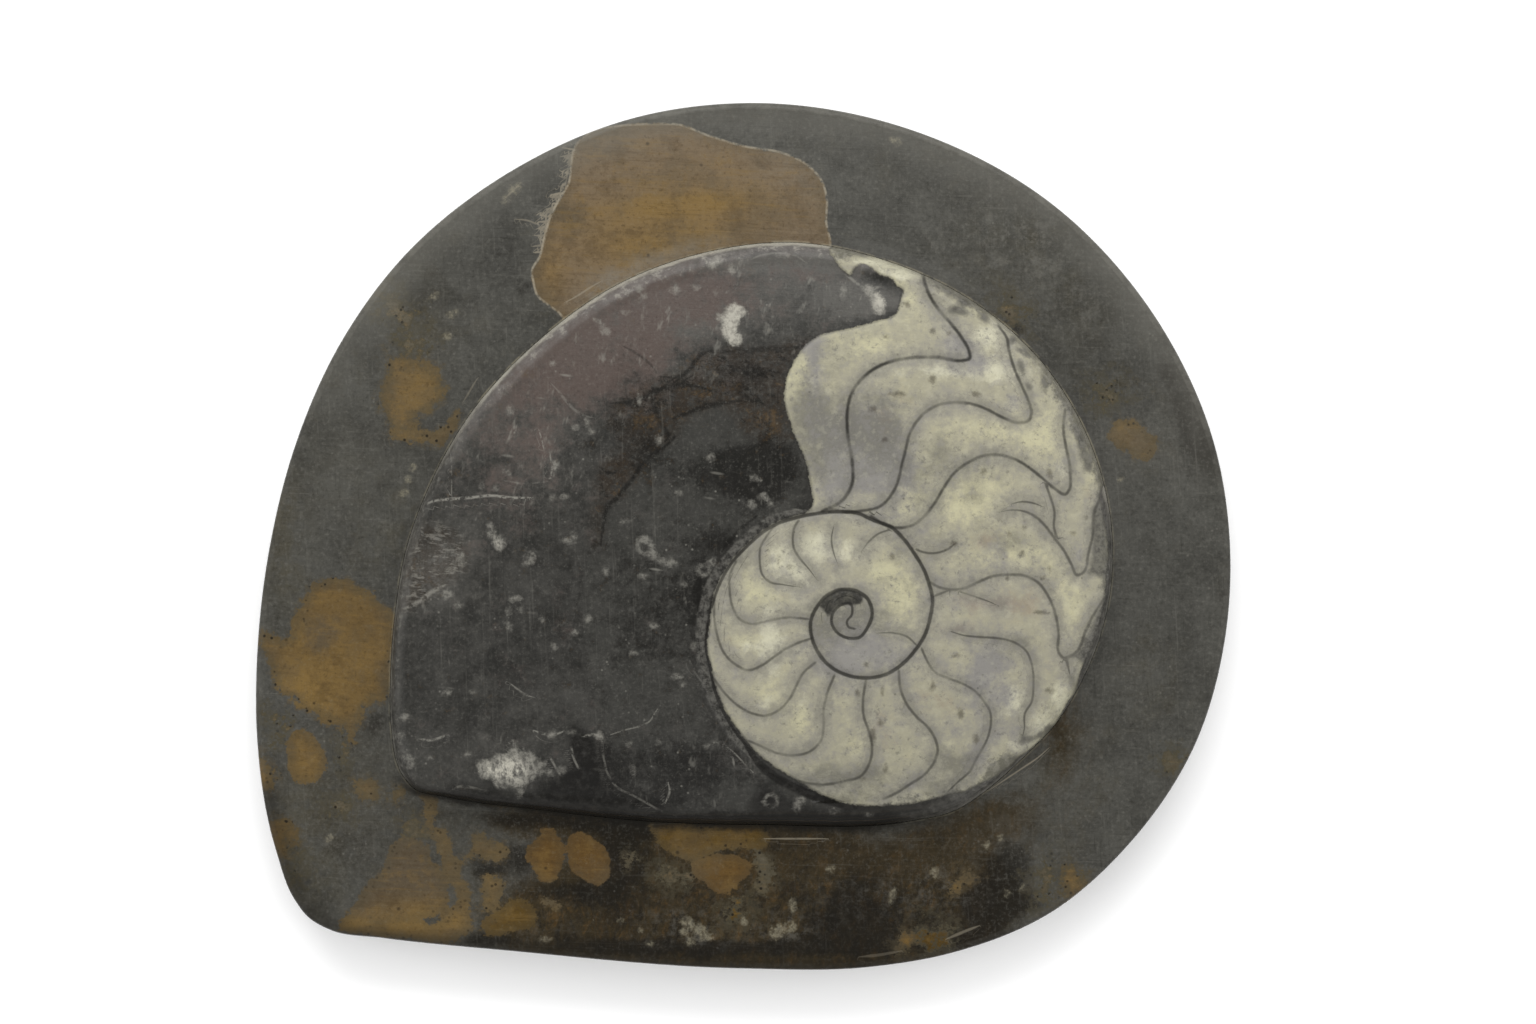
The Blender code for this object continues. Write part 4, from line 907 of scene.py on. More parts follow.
    Nodule(Spot((30.4, -50.8), (1, 0.72), 25), 0.5, Tone.RICH),
    Nodule(Spot((31.9, -48.8), (1.1, 0.86), 40), 0.5, Tone.RICH),
    Nodule(Spot((23.5, -58.3), (1.3, 1.4)), 0.6, Tone.RICH),
    Nodule(Spot((26.8, -57.7), (2.6, 1.4), 10), 1.0, Tone.AMBER),
    Nodule(Spot((38.3, 31.8), (2, 1.1), -40), 1.0, Tone.SMOKY),
    Nodule(Spot((-32.1, -38.8), (5.7, 0.32), -4), 0.5, Tone.AMBER),
    Nodule(Spot((-20.6, -39.5), (6.6, 0.23), -3), 0.5, Tone.AMBER),
)

FLECKS: Sequence[Patch] = ovals(
    (-7.9, -55.6, 1.1, 0.72, -20), (-6.2, -56.6, 1, 0.86, -40), (-8.4, -56.9, 0.57, 0.57),
    (-5.4, -57.7, 1, 0.43), (-7.6, -58.3, 0.57, 0.57), (5.3, -56.5, 1.4, 0.72, 8),
    (7.0, -56.0, 0.57, 0.86),
    (4.7, -57.2, 0.86, 0.57), (0.1, -55.4, 0.43, 0.57), (7.1, -53.1, 0.43, 1), (12.5, -47.7, 0.57, 0.43),
    (27.5, -48.3, 0.5, 0.72, 25), (21.4, -51.6, 0.36, 1.1, -15), (21.9, 56.8, 0.86, 0.43, -25),
    (-42.4, 28.6, 0.43, 0.43), (-41.7, 32.0, 1, 0.36, 20),
    (-44.4, 34.5, 0.72, 0.26, 25), (-47.4, 9.8, 0.43, 0.43), (-48.0, 8.1, 0.43, 0.36),
    (-48.7, 6.2, 0.57, 0.36, 20), (-33.1, 49.7, 0.72, 0.57), (-32.4, 50.3, 0.43, 0.57),
    (-34.2, 48.3, 0.57, 0.43), (40.0, -50.6, 0.29, 0.29), (38.0, -51.3, 0.29, 0.43),
    (-28.5, -58.0, 0.86, 0.29), (-13.4, -58.6, 0.57, 0.29), (-17.7, -55.2, 0.29, 0.29),
    (-14.8, -56.6, 0.29, 0.29), (-59.4, -43.4, 0.29, 0.36),
    (35.0, -44.4, 0.43, 0.43), (36.9, -43.4, 0.29, 0.43),
    (54.1, 8.1, 0.29, 0.29),
)

STAIN = tints(
    (18.2, -54.4, 18.7, 8.6, 0.9), (-12.0, -53.0, 20.1, 8.6, 0.8), (-0.5, -43.4, 15.8, 2.6, 0.6),
    (31.1, -46.5, 7.2, 7.2, 0.4), (45.5, -29.3, 4.3, 8.6, 0.35), (-26.3, -40.8, 12.9, 2.6, 0.45),
    (36.9, -39.6, 7.2, 3.7, 0.35), (-26.3, -55.9, 8.6, 3.7, 0.9), (-0.5, -59.5, 11.5, 2.9, 0.7),
    (22.5, -58.0, 8.6, 2.9, 0.7),
)

# Darker slab stone: stains, and painted shade along the low rim and under the fossil's low foot
DARKER = tints(
    (16.1, -54.4, 4.9, 4.6, 1), (35.4, -53.0, 3.2, 3.4, 1), (38.3, -47.7, 4, 4.9, 0.7),
    (-32.1, -46.5, 4.9, 2.9, 0.7), (-25.6, -51.1, 4.9, 2, 0.7), (-17.0, -43.7, 4.9, 3.7, 0.6),
    (-24.9, -41.1, 8.6, 1.4, 0.6), (-7.6, -42.2, 10.1, 1.1, 0.5), (-34.9, -40.1, 7.2, 1.7, 0.5),
    (-17.7, -49.4, 5.7, 5.2, 0.5), (-45.0, -40.1, 2.9, 2, 0.3), (-37.8, -48.0, 2.6, 2.3, 0.5),
    (-6.2, -52.3, 8.6, 3.7, 0.3), (-20.6, -56.6, 8.6, 3.4, 0.35), (19.6, -48.0, 10.1, 3.4, 0.25),
    (34.0, -58.0, 5.2, 1.4, 0.6), (59.9, -3.4, 4.3, 15.8, 0.25), (-41.4, 38.2, 5.7, 8.6, 0.25, -35),
    (-60.8, -26.4, 10.1, 2, 0.3), (-57.9, -42.2, 12.9, 10.1, 0.22), (-53.6, -29.3, 2.9, 4.9, 0.3),
    (-31.4, 35.3, 2.9, 1.4, 0.4, 40), (53.8, 22.0, 1, 0.5, 0.7, -35),
    (39.5, 29.9, 1.7, 1, 0.7, -40), (8.2, -44.4, 8.6, 0.86, 0.4), (-32.8, 39.4, 2, 4.3, 0.3, 20),
    (-36.4, -58.0, 4.3, 1.1, 0.8),
    (-3.3, -59.2, 28.7, 1.4, 0.8),
    (62.5, 21.7, 3.2, 9.5, 0.4, 12), (-59.4, -48.0, 8, 8.6, 0.12), (-67.3, -9.2, 1.4, 8.6, 0.3),
    (19.6, -56.6, 14.4, 2.3, 0.4), (36.9, -53.0, 5.7, 2.3, 0.4),
    (65.6, 16.0, 3.2, 8.6, 0.4, 8), (36.9, -53.0, 8.6, 2, 0.3), (29.7, -58.0, 17.2, 2, 0.3),
    (66.3, 13.8, 2.9, 8.6, 0.4, 8), (60.6, 23.9, 1.4, 4.3, 0.3, 24),
)

GOLD = tints(
    (-7.6, 47.6, 12.4, 2, 0.9, 4), (-17.7, 42.5, 7.2, 4.3, 0.5), (-6.2, 42.5, 8.6, 2.9, 0.35),
    (-27.8, 37.5, 2.3, 4.3, 0.6), (-58.6, -19.2, 5.7, 5.2, 0.6), (-64.3, -21.3, 2.9, 2, 0.9),
    (-46.7, 21.7, 3.2, 3.2, 0.4), (47.8, -49.4, 1.7, 1.7, 0.6), (-42.1, -54.4, 8.6, 2.9, 0.4),
    (31.1, -50.0, 2.3, 1.4, 1), (23.5, -58.3, 1.4, 1.4, 0.8),
    (-62.5, -31.6, 1.7, 2.3, 0.9), (-65.4, -23.6, 3.7, 2.9, 0.5), (-56.5, -55.9, 4.3, 1.7, 0.6),
    (-49.3, -56.3, 5.7, 1.4, 0.6), (-37.8, -38.8, 1.7, 2.3, 0.5), (-1.2, -44.4, 4.3, 1.1, 0.5),
    (-6.2, -42.5, 4.9, 0.9, 0.6),
    (-60.5, -24.3, 2.6, 2.3, 0.6), (-6.2, 49.7, 8.6, 4.3, 0.3), (-6.2, 43.2, 8.6, 2.9, 0.4),
    (-14.8, 39.4, 4.3, 2.3, 0.3),
    (-7.6, -46.3, 4.9, 2.3, 0.6), (-45.0, -54.0, 8.6, 2, 0.6), (-65.1, -24.3, 2.9, 4.3, 0.5),
    (-12.0, 41.1, 4.3, 1.4, 0.4), (-37.8, -48.7, 2.3, 3.4, 0.4),
)

ASH = tints(
    (-59.4, -12.1, 4.3, 2.3, 0.35), (-20.6, 55.5, 7.2, 3.7, 0.3),
    (5.3, 46.8, 5.7, 5.7, 0.25), (55.6, 15.2, 4.3, 2.9, 0.3), (-60.8, -14.9, 2.9, 2.9, 0.5),
    (-24.9, 46.1, 4.3, 4.3, 0.5), (-47.6, 16.7, 2.9, 2.3, 0.4),
)

OLIVE = tints(
    (22.5, -49.4, 15.8, 8.6, 0.6), (-0.5, -56.6, 12.9, 5.7, 0.6), (-59.4, -37.9, 8.6, 2.9, 0.4),
    (36.9, 42.5, 8.6, 8.6, 0.35), (48.4, 31.0, 5.7, 5.7, 0.35), (-57.9, 9.5, 8.6, 8.6, 0.3),
    (-46.4, 29.6, 4.3, 8.6, 0.5), (45.5, -32.2, 5.7, 8.6, 0.35), (-26.3, -55.9, 8.6, 4.3, 0.5),
    (-68.0, 2.3, 2.9, 8.6, 0.3),
    (-66.0, -3.4, 3.7, 10.1, 0.6), (-63.7, -43.7, 7.2, 10.1, 0.5), (-63.7, -49.4, 5.7, 5.7, 0.4),
    (-55.1, -32.2, 5.7, 7.2, 0.4),
    (-40.7, -49.4, 11.5, 8.6, 0.45), (-14.8, -48.0, 12.9, 4.3, 0.35), (-59.4, -42.2, 8.6, 8.6, 0.25),
)

# Pale dust, and painted highlight along the slab's top edge
DUST_AND_HIGHLIGHT = tints(
    (-15.0, 38.6, 7.0, 1.8, 0.9, 22), (-20.8, 35.3, 4.0, 1.8, 0.6, 35), (-6.0, 41.6, 5.0, 1.3, 0.5, 12),
    (-18.0, 57.0, 9.0, 3.0, 0.3, 8), (7.5, 52.0, 5.0, 4.0, 0.4, -40), (-52.0, 34.0, 3.0, 6.0, 0.3, 35),
    (37.6, -41.1, 5.7, 2, 0.3, 30), (11.0, 39.4, 4.3, 0.9, 0.3), (55.6, 13.8, 5.7, 4.3, 0.25),
    (11.0, 56.9, 8.6, 3.7, 0.3), (-0.5, 58.3, 8.6, 2, 0.3), (65.6, 15.2, 2, 7.2, 0.3),
    (-6.2, 54.0, 15.8, 5.7, 0.12), (19.6, 49.0, 8.6, 2.9, 0.2), (31.1, 51.2, 8.6, 2.9, 0.2),
)

CRUMBS = tints(
    (40.0, 42.5, 9.0, 6.0, 1, -40), (48.5, 32.5, 4.0, 3.5, 0.6), (59.0, 14.5, 4.5, 4.0, 0.6),
    (27.0, 41.5, 4.0, 3.0, 0.5),
    (-8.0, -56.5, 6.0, 3.5, 0.7), (6.0, -56.5, 4.0, 2.5, 0.8), (30.0, -50.0, 5.0, 4.0, 0.5),
    (-32.0, -56.5, 7.0, 2.5, 0.3),
    (20.0, -51.5, 9.0, 4.0, 0.4), (68.0, 0.0, 1.5, 2.0, 0.8), (-30.0, 48.0, 3.0, 3.0, 0.5),
    (-56.0, -45.0, 6.0, 5.0, 0.3),
)

RIM_MARKS: Sequence[Line] = (
    Line(((35.2, -36.5), (37.6, -34.9), (40.0, -33.3), (42.6, -31.5),
         (43.8, -30.4)), half=0.11, strength=0.8, start=0.3, end=0.3, taper=0.3),
    Line(((3.0, -43.4), (5.3, -43.4), (8.9, -43.4),
         (12.2, -43.4)), half=0.13, strength=0.8, start=0.4, end=0.3, taper=0.3),
    Line(((-25.5, 33.5), (-23.7, 34.5), (-22.0, 35.6),
         (-20.3, 36.6)), half=0.12, strength=0.7, start=0.5, end=0.4, taper=0.3),
    Line(((-40.3, 19.0), (-39.5, 20.3), (-38.7, 21.7),
         (-38.0, 22.8)), half=0.13, strength=0.35, start=0.3, end=0.3, taper=0.3),
    Line(((-34.4, 48.4), (-33.1, 49.6),
         (-32.1, 50.6)), half=0.14, strength=0.5, start=0.4, end=0.4, taper=0.3),
    Line(((-32.8, 45.5), (-30.9, 45.3),
         (-29.1, 44.5)), half=0.12, strength=0.5, start=0.4, end=0.4, taper=0.3),
    Line(((29.0, -58.0), (30.9, -57.2), (32.6, -56.5),
         (33.9, -56.0)), half=0.2, strength=0.5, start=0.3, end=0.4, taper=0.3),
    Line(((16.5, -60.5), (19.6, -60.2),
         (22.8, -59.6)), half=0.2, strength=0.4, start=0.3, end=0.3, taper=0.3),
    Line(((-18.7, 58.9), (-14.8, 59.1), (-12.0, 59.1), (-9.1, 59.1)), half=0.1, strength=0.4),
    Line(((-49.7, -12.1), (-49.9, -15.7), (-50.2, -19.0), (-49.9, -23.6)), half=0.1, strength=0.5),
    Line(((-13.1, -41.4), (-9.1, -41.1), (-3.3, -41.1), (2.4, -41.2)), half=0.1, strength=0.4),
    Line(((-34.9, -38.4), (-30.6, -38.9), (-26.3, -39.2), (-20.6, -39.5)), half=0.1, strength=0.3),
)

# The frayed border of the biggest nodule, and the crystals that stand on it
HAIR_BORDER: Sequence[Point] = (
    (-24.2, 55.5), (-24.8, 53.3), (-26.3, 48.6), (-27.5, 46.3), (-28.6, 42.7), (-29.1, 40.8))
HAIR_COUNT = 22


def crystal_hairs() -> list[Line]:
    """Short pale hairs that stand side by side on the frayed border, of uneven length and tilt.

    Returns:
        The hairs as lines.
    """
    border = smooth_path(HAIR_BORDER, closed=False)
    roots = border[np.linspace(0, len(border) - 1, HAIR_COUNT).astype(int)]
    chance = np.random.default_rng(5)
    length = chance.uniform(0.7, 2.1, HAIR_COUNT)
    tilt = chance.uniform(-0.4, 0.4, HAIR_COUNT)
    strength = chance.uniform(0.5, 0.95, HAIR_COUNT)
    return [Line(((x, y), (x - long, y + lean)), half=0.16, strength=shown, end=0.3, taper=0.6)
            for (x, y), long, lean, shown in zip(roots, length, tilt, strength)]


# ---------------------------------------------------------------- shader building

Colour = tuple[float, float, float]


def octave_spread(detail: float, rough: float) -> float:
    """How far fractal noise strays from its middle, as a share of its first octave's stray."""
    heights = [rough ** octave for octave in range(int(detail) + 1)]
    return math.sqrt(sum(height * height for height in heights)) / sum(heights)


class Wire:
    """A socket in a material, which adds Math nodes when it is used in an expression."""

    def __init__(self, graph: "Graph", socket: bpy.types.NodeSocket) -> None:
        """Keep the graph and the output socket."""
        self.graph = graph
        self.socket = socket

    def _math(self, operation: str, first: "Value", second: "Value") -> "Wire":
        """Add one Math node on two values."""
        return self.graph.node("ShaderNodeMath", {"operation": operation}, {0: first, 1: second})

    def __add__(self, other: "Value") -> "Wire":
        """Add a value."""
        return self._math("ADD", self, other)

    def __sub__(self, other: "Value") -> "Wire":
        """Take a value away."""
        return self._math("SUBTRACT", self, other)

    def __rsub__(self, other: "Value") -> "Wire":
        """Take this away from a value."""
        return self._math("SUBTRACT", other, self)

    def __mul__(self, other: "Value") -> "Wire":
        """Multiply by a value."""
        return self._math("MULTIPLY", self, other)

    __radd__ = __add__
    __rmul__ = __mul__

    def size(self) -> "Wire":
        """The value without its sign."""
        return self._math("ABSOLUTE", self, 0.0)

    def most(self, other: "Value") -> "Wire":
        """The larger of this and another value."""
        return self._math("MAXIMUM", self, other)

    def least(self, other: "Value") -> "Wire":
        """The smaller of this and another value."""
        return self._math("MINIMUM", self, other)

    def rise(self, low: "Value", high: "Value") -> "Wire":
        """A smooth step from 0 where this is low to 1 where it is high.

        Args:
            low: Value up to which the step is 0.
            high: Value from which the step is 1.

        Returns:
            The step.
        """
        settings = {"interpolation_type": "SMOOTHSTEP"}
        values = {"Value": self, "From Min": low, "From Max": high}
        return self.graph.node("ShaderNodeMapRange", settings, values)

    def fall(self, low: "Value", high: "Value") -> "Wire":
        """A smooth step from 1 where this is low to 0 where it is high."""
        return 1.0 - self.rise(low, high)


Value = Union[Wire, float]
Shade = Union[Wire, Colour]


class Graph:
    """A procedural material under construction, measured in millimetres."""

    def __init__(self, name: str) -> None:
        """Start an empty material.

        Args:
            name: The material's name.
        """
        self.material = bpy.data.materials.new(name)
        self.material.use_nodes = True
        self.tree = self.material.node_tree
        self.tree.nodes.clear()
        self.metres = self.node("ShaderNodeTexCoord", output="Object")
        scaled = {0: self.metres, "Scale": 1 / MM}
        self.place = self.node("ShaderNodeVectorMath", {"operation": "SCALE"}, scaled)

    def node(self, kind: str, settings: dict | None = None, values: dict | None = None,
             output: int | str = 0) -> Wire:
        """Add a node.

        Args:
            kind: The node's type.
            settings: Its own settings, which are made first.
            values: The value or link of each of its sockets.
            output: Which output to hand back.

        Returns:
            The chosen output.
        """
        made = self.tree.nodes.new(kind)
        for key, setting in (settings or {}).items():
            setattr(made, key, setting)
        for key, value in (values or {}).items():
            socket = made.inputs[key]
            if isinstance(value, Wire):
                self.tree.links.new(value.socket, socket)
            elif isinstance(value, tuple) and socket.type == "RGBA":
                socket.default_value = (*value, 1.0)
            else:
                socket.default_value = value
        return Wire(self, made.outputs[output])

    def drawn(self, name: str) -> Wire:
        """A field kept on the vertices."""
        return self.node("ShaderNodeAttribute", {"attribute_name": name}, output="Fac")

    def tinted(self, name: str) -> Wire:
        """A colour kept on the vertices."""
        return self.node("ShaderNodeAttribute", {"attribute_name": name}, output="Color")

    def stroke(self, name: str, ragged: float = 0.5, soft: float = 0.4) -> Wire:
        """Cover of the drawn lines of a name, with a ragged, soft edge."""
        over = self.drawn(name).size() + self.stray(ragged * 2.0, 1.1, 4.0, 0.7)
        return over.fall(1.0 - soft, 1.0 + soft) * self.drawn(name + "_ink")

    def patch(self, name: str, size: float, fray: float, soft: float) -> Wire:
        """Cover of the drawn patches of a name, with an edge frayed by lumps of a given size."""
        depth = self.drawn(name) + self.stray(2.0 * fray, size, 6.0, 0.75)
        return depth.rise(-soft, soft)

    def dashes(self, size: float, turn: float, long: float = 5.0) -> Wire:
        """Scattered short scratches at a turn in degrees: 1 on each, 0 between them."""
        where = self.stretched((1.0 / long, 1.0, 0.5), turn)
        return self.cells(size, where).fall(0.03, 0.09)

    def rings(self, name: str, size: float) -> Wire:
        """Fine lines that run along a drawn distance, a given size apart.

        Args:
            name: Name of the drawn distance.
            size: Spacing of the lines, in millimetres.

        Returns:
            The lines, between 0 and 1.
        """
        bent = self.cloud(9.0, 2.0) * (0.6 * size)
        where = self.node("ShaderNodeCombineXYZ", None, {0: self.drawn(name) + bent})
        return self.cloud(size, 3.0, 0.6, where)

    def stretched(self, scale: Colour, turn: float = 0.0) -> Wire:
        """The place in millimetres, scaled along each axis after a turn in degrees about Z.

        Args:
            scale: Scale along each axis.
            turn: Turn in degrees.

        Returns:
            The scaled place.
        """
        rotation = (0.0, 0.0, math.radians(turn))
        turned = self.node("ShaderNodeMapping", None, {0: self.place, "Rotation": rotation})
        return self.node("ShaderNodeMapping", None, {0: turned, "Scale": scale})

    def cloud(self, size: float, detail: float = 3.0, rough: float = 0.5, where: Wire | None = None,
              warp: float = 0.0) -> Wire:
        """Fractal noise with its largest lumps of a given size, between 0 and 1.

        Octaves too fine to be seen are left out, and the spread that they would give is kept.

        Args:
            size: Size of the largest lumps, in millimetres.
            detail: How many octaves are added to the first one.
            rough: Share of each octave in the one before it.
            where: Point to read, or None for the object's own place.
            warp: How far the noise bends itself.

        Returns:
            The noise.
        """
        seen = min(detail, max(1.0, round(math.log2(size / FINEST_GRAIN))))
        values = {"Vector": where or self.place, "Scale": 1.0 / size, "Detail": seen, "Roughness": rough,
                  "Distortion": warp}
        lumps = self.node("ShaderNodeTexNoise", None, values)
        share = octave_spread(detail, rough) / octave_spread(seen, rough)
        return lumps * share + (1.0 - share) * 0.5 if seen < detail else lumps

    def stray(self, spread: float, size: float, detail: float = 3.0, rough: float = 0.5) -> Wire:
        """Fractal noise that strays to both sides of 0, by half its spread at most."""
        return (self.cloud(size, detail, rough) - 0.5) * spread

    def cells(self, size: float, where: Wire | None = None) -> Wire:
        """Distance to the nearest of scattered points, over their spacing."""
        values = {"Vector": where or self.place, "Scale": 1.0 / size}
        return self.node("ShaderNodeTexVoronoi", None, values, output="Distance")

    def blend(self, share: Value, below: Shade, above: Shade) -> Wire:
        """Lay one colour over another by a share."""
        settings = {"data_type": "RGBA", "blend_type": "MIX", "clamp_factor": True}
        return self.node("ShaderNodeMix", settings, {0: share, 6: below, 7: above}, output=2)

    def raised(self, height: Wire, depth_mm: float) -> Wire:
        """A normal bent by a height between 0 and 1."""
        values = {"Height": height, "Distance": depth_mm * MM, "Strength": 1.0}
        return self.node("ShaderNodeBump", None, values)

    def close(self, colour: Wire, roughness: Wire, normal: Wire, specular: float) -> bpy.types.Material:
        """End the material in a Principled shader.

        Args:
            colour: Base colour.
            roughness: Roughness.
            normal: The bumped normal.
            specular: Specular level, the same all over.

        Returns:
            The finished material.
        """
        values = {"Base Color": colour, "Roughness": roughness, "Normal": normal,
                  "Specular IOR Level": specular}
        shader = self.node("ShaderNodeBsdfPrincipled", None, values)
        self.node_output(shader)
        return self.material

    def node_output(self, shader: Wire) -> None:
        """Join a shader to the material's output."""
        made = self.tree.nodes.new("ShaderNodeOutputMaterial")
        self.tree.links.new(shader.socket, made.inputs["Surface"])


@dataclass(frozen=True)
class LimestoneFinish:
    """Dark polished limestone with ochre nodules, stains and grinding marks."""

    name: str = "slab limestone"
    dark: Colour = (0.0258, 0.0251, 0.0216)
    light: Colour = (0.0540, 0.0528, 0.0460)
    olive: Colour = (0.0420, 0.0365, 0.0230)
    brown: Colour = (0.0210, 0.0150, 0.0065)
    black: Colour = (0.0065, 0.0056, 0.0040)
    # Pale scuffed stone, also used for painted highlight on the rim
    scuff_and_highlight: Colour = (0.1250, 0.1200, 0.1040)
    gold: Colour = (0.126, 0.079, 0.025)
    umber: Colour = (0.0330, 0.0205, 0.0080)
    ash: Colour = (0.0570, 0.0440, 0.0270)
    crust: Colour = (0.2050, 0.1800, 0.1350)
    fleck: Colour = (0.1900, 0.1720, 0.1220)
    sawn: Colour = (0.1000, 0.0970, 0.0880)
    specular: float = 0.07

    def stone(self, graph: Graph) -> Wire:
        """The dark stone itself, with its clouds, stains, fine flecks and darker patches that are partly
        painted shade.

        Args:
            graph: The material under construction.

        Returns:
            Its colour.
        """
        clouds = graph.cloud(30.0, 3.0) * 0.30 + graph.cloud(6.0, 7.0, 0.74) * 0.70
        stone = graph.blend(clouds.rise(0.30, 0.70), self.dark, self.light)
        moss = graph.cloud(9.0, 6.0, 0.72).rise(0.50, 0.70) * 0.35 + graph.drawn("olive") * 0.65
        stone = graph.blend(moss * graph.cloud(2.0, 5.0, 0.7).rise(0.25, 0.65), stone, self.olive)
        stained = graph.drawn("stain")
        murk = graph.cloud(5.0, 8.0, 0.80)
        stone = graph.blend((stained * 1.2 + murk - 0.7).rise(-0.05, 0.35) * 0.95, stone, self.brown)
        drips = graph.cloud(1.3, 7.0, 0.82, graph.stretched((0.9, 0.45, 1.0), 12.0), 0.6)
        stone = graph.blend(stained * drips.rise(0.50, 0.66) * 0.48, stone, Tone.RICH.value)
        stone = graph.blend(stained * drips.fall(0.36, 0.50) * 0.75, stone, self.black)
        stone = graph.blend(stained * graph.cloud(7.0, 7.0, 0.78).rise(0.50, 0.60) * 0.70, stone, self.black)
        bits = graph.cloud(0.9, 6.0, 0.84).rise(0.62, 0.72) * graph.cloud(6.0, 3.0).rise(0.42, 0.58)
        stone = graph.blend(stained * bits * 0.45, stone, self.fleck)
        # Darker stone where drawn, partly stains and partly painted shade along the low rim and under the
        # fossil's low foot
        shadow = graph.drawn("darker") * 1.5 + graph.stray(2.0, 4.0, 7.0, 0.78)
        stone = graph.blend(shadow.rise(0.30, 1.15) * 0.82, stone, self.black)
        grain = graph.cloud(0.55, 4.0, 0.72)
        dry = 1.0 - stained * 0.65
        stone = graph.blend(grain.rise(0.48, 0.76) * dry * 0.28, stone, self.scuff_and_highlight)
        stone = graph.blend(grain.fall(0.24, 0.48) * 0.40, stone, self.black)
        lines = graph.cloud(1.0, 5.0, 0.70, graph.stretched((0.05, 2.2, 1.0), 2.0))
        across = graph.cloud(1.0, 5.0, 0.70, graph.stretched((0.06, 2.4, 1.0), 86.0))
        stone = graph.blend(lines.most(across).rise(0.56, 0.78) * dry * 0.26, stone, self.scuff_and_highlight)
        stone = graph.blend(lines.least(across).fall(0.24, 0.44) * 0.35, stone, self.black)
        cluster = graph.cloud(8.0, 5.0, 0.66).rise(0.50, 0.64)
        flecks = graph.cells(1.3).fall(0.05, 0.18) * cluster * dry
        stone = graph.blend(flecks * 0.36, stone, self.scuff_and_highlight)
        crumbs = graph.cloud(1.9, 6.0, 0.80).rise(0.46, 0.66) * graph.drawn("crumb")
        return graph.blend(crumbs * 0.42, stone, self.scuff_and_highlight)

    def nodule(self, graph: Graph) -> tuple[Wire, Wire]:
        """The ochre nodules.

        Args:
            graph: The material under construction.

        Returns:
            Their colour, and how much they cover.
        """
        depth, fray = graph.drawn("ochre"), graph.drawn("fray")
        coarse = (graph.cloud(3.4, 6.0, 0.72) - 0.5) * (fray * 13.0 + 0.3)
        fuzz = (graph.cloud(1.0, 5.0, 0.80) - 0.5) * (fray * 9.0 + 0.3)
        edge = depth + coarse + fuzz
        colour = graph.blend(graph.drawn("gold") * 0.85, graph.tinted("nodule"), self.gold)
        ashen = graph.drawn("ash") * 1.4 + graph.stray(1.6, 4.0, 7.0, 0.76)
        colour = graph.blend(ashen.rise(0.25, 0.90) * 0.85, colour, self.ash)
        mottle = graph.cloud(6.0, 8.0, 0.76)
        colour = graph.blend(mottle.rise(0.50, 0.62) * 0.34, colour, self.umber)
        colour = graph.blend(mottle.fall(0.38, 0.49) * 0.36, colour, self.gold)
        colour = graph.blend(graph.cloud(11.0, 6.0, 0.70).rise(0.46, 0.60) * 0.42, colour, self.ash)
        fine = graph.cloud(0.6, 5.0, 0.78)
        colour = graph.blend(fine.rise(0.52, 0.70) * 0.50, colour, self.umber)
        colour = graph.blend(fine.fall(0.32, 0.47) * 0.10, colour, self.fleck)
        streaks = graph.cloud(1.0, 6.0, 0.75, graph.stretched((0.09, 1.1, 1.0), 3.0))
        colour = graph.blend(streaks.rise(0.52, 0.66) * 0.32, colour, self.gold)
        colour = graph.blend(streaks.fall(0.36, 0.48) * 0.24, colour, self.umber)
        colour = graph.blend(edge.fall(0.0, 2.2) * (fray * 1.1 + 0.14), colour, self.olive)
        dots = graph.cells(1.0).fall(0.14, 0.28) * depth.fall(0.4, 2.4) * fray.rise(0.10, 0.30)
        colour = graph.blend(dots * graph.cloud(4.0, 3.0).rise(0.44, 0.54) * 0.90, colour, self.black)
        pits = graph.cells(5.0).fall(0.02, 0.08)
        colour = graph.blend(pits * 0.6, colour, self.black)
        soft = fray * 0.35 + 0.10
        ragged = fray.rise(0.02, 0.20) * graph.cloud(1.6, 6.0, 0.78).rise(0.40, 0.56)
        fringe = (edge + fray * 3.2).rise(0.0, 1.2) * ragged * 0.45
        return colour, edge.rise(0.0 - soft, soft).most(fringe)

    def rim(self, graph: Graph, colour: Wire) -> Wire:
        """Lay the marks, the turned lines, a pale foot line and painted shade by the fossil's foot, pale
        dust, and the worn outer edge; the high side gets painted highlight and the low side painted shade.

        Args:
            graph: The material under construction.
            colour: Colour of the slab so far.

        Returns:
            The colour with these laid on it.
        """
        cracks = graph.drawn("border") * graph.drawn("ochre").size().fall(0.05, 0.26)
        colour = graph.blend(cracks * graph.cloud(1.2, 4.0, 0.7).rise(0.35, 0.6) * 0.75, colour, self.crust)
        colour = graph.blend(graph.stroke("mark") * 0.65, colour, self.crust)
        broken = graph.cloud(0.6, 5.0, 0.8).rise(0.36, 0.62) * 0.55 + 0.10
        colour = graph.blend(graph.patch("fleck", 0.7, 1.0, 0.45) * broken, colour, self.fleck)
        foot, low, high = graph.drawn("foot"), graph.drawn("low"), graph.drawn("high")
        turned = graph.rings("foot", 0.42)
        colour = graph.blend(turned.rise(0.58, 0.72) * foot.fall(0.6, 4.0) * 0.22, colour, self.scuff_and_highlight)
        colour = graph.blend(turned.fall(0.28, 0.45) * foot.fall(0.3, 3.0) * 0.35, colour, self.black)
        # Painted shade: black at the fossil's foot on the low side, where the fossil's edge falls away
        under = foot + graph.stray(4.0, 2.4, 7.0, 0.80)
        colour = graph.blend(under.fall(0.0, 1.8) * low * 0.90, colour, self.black)
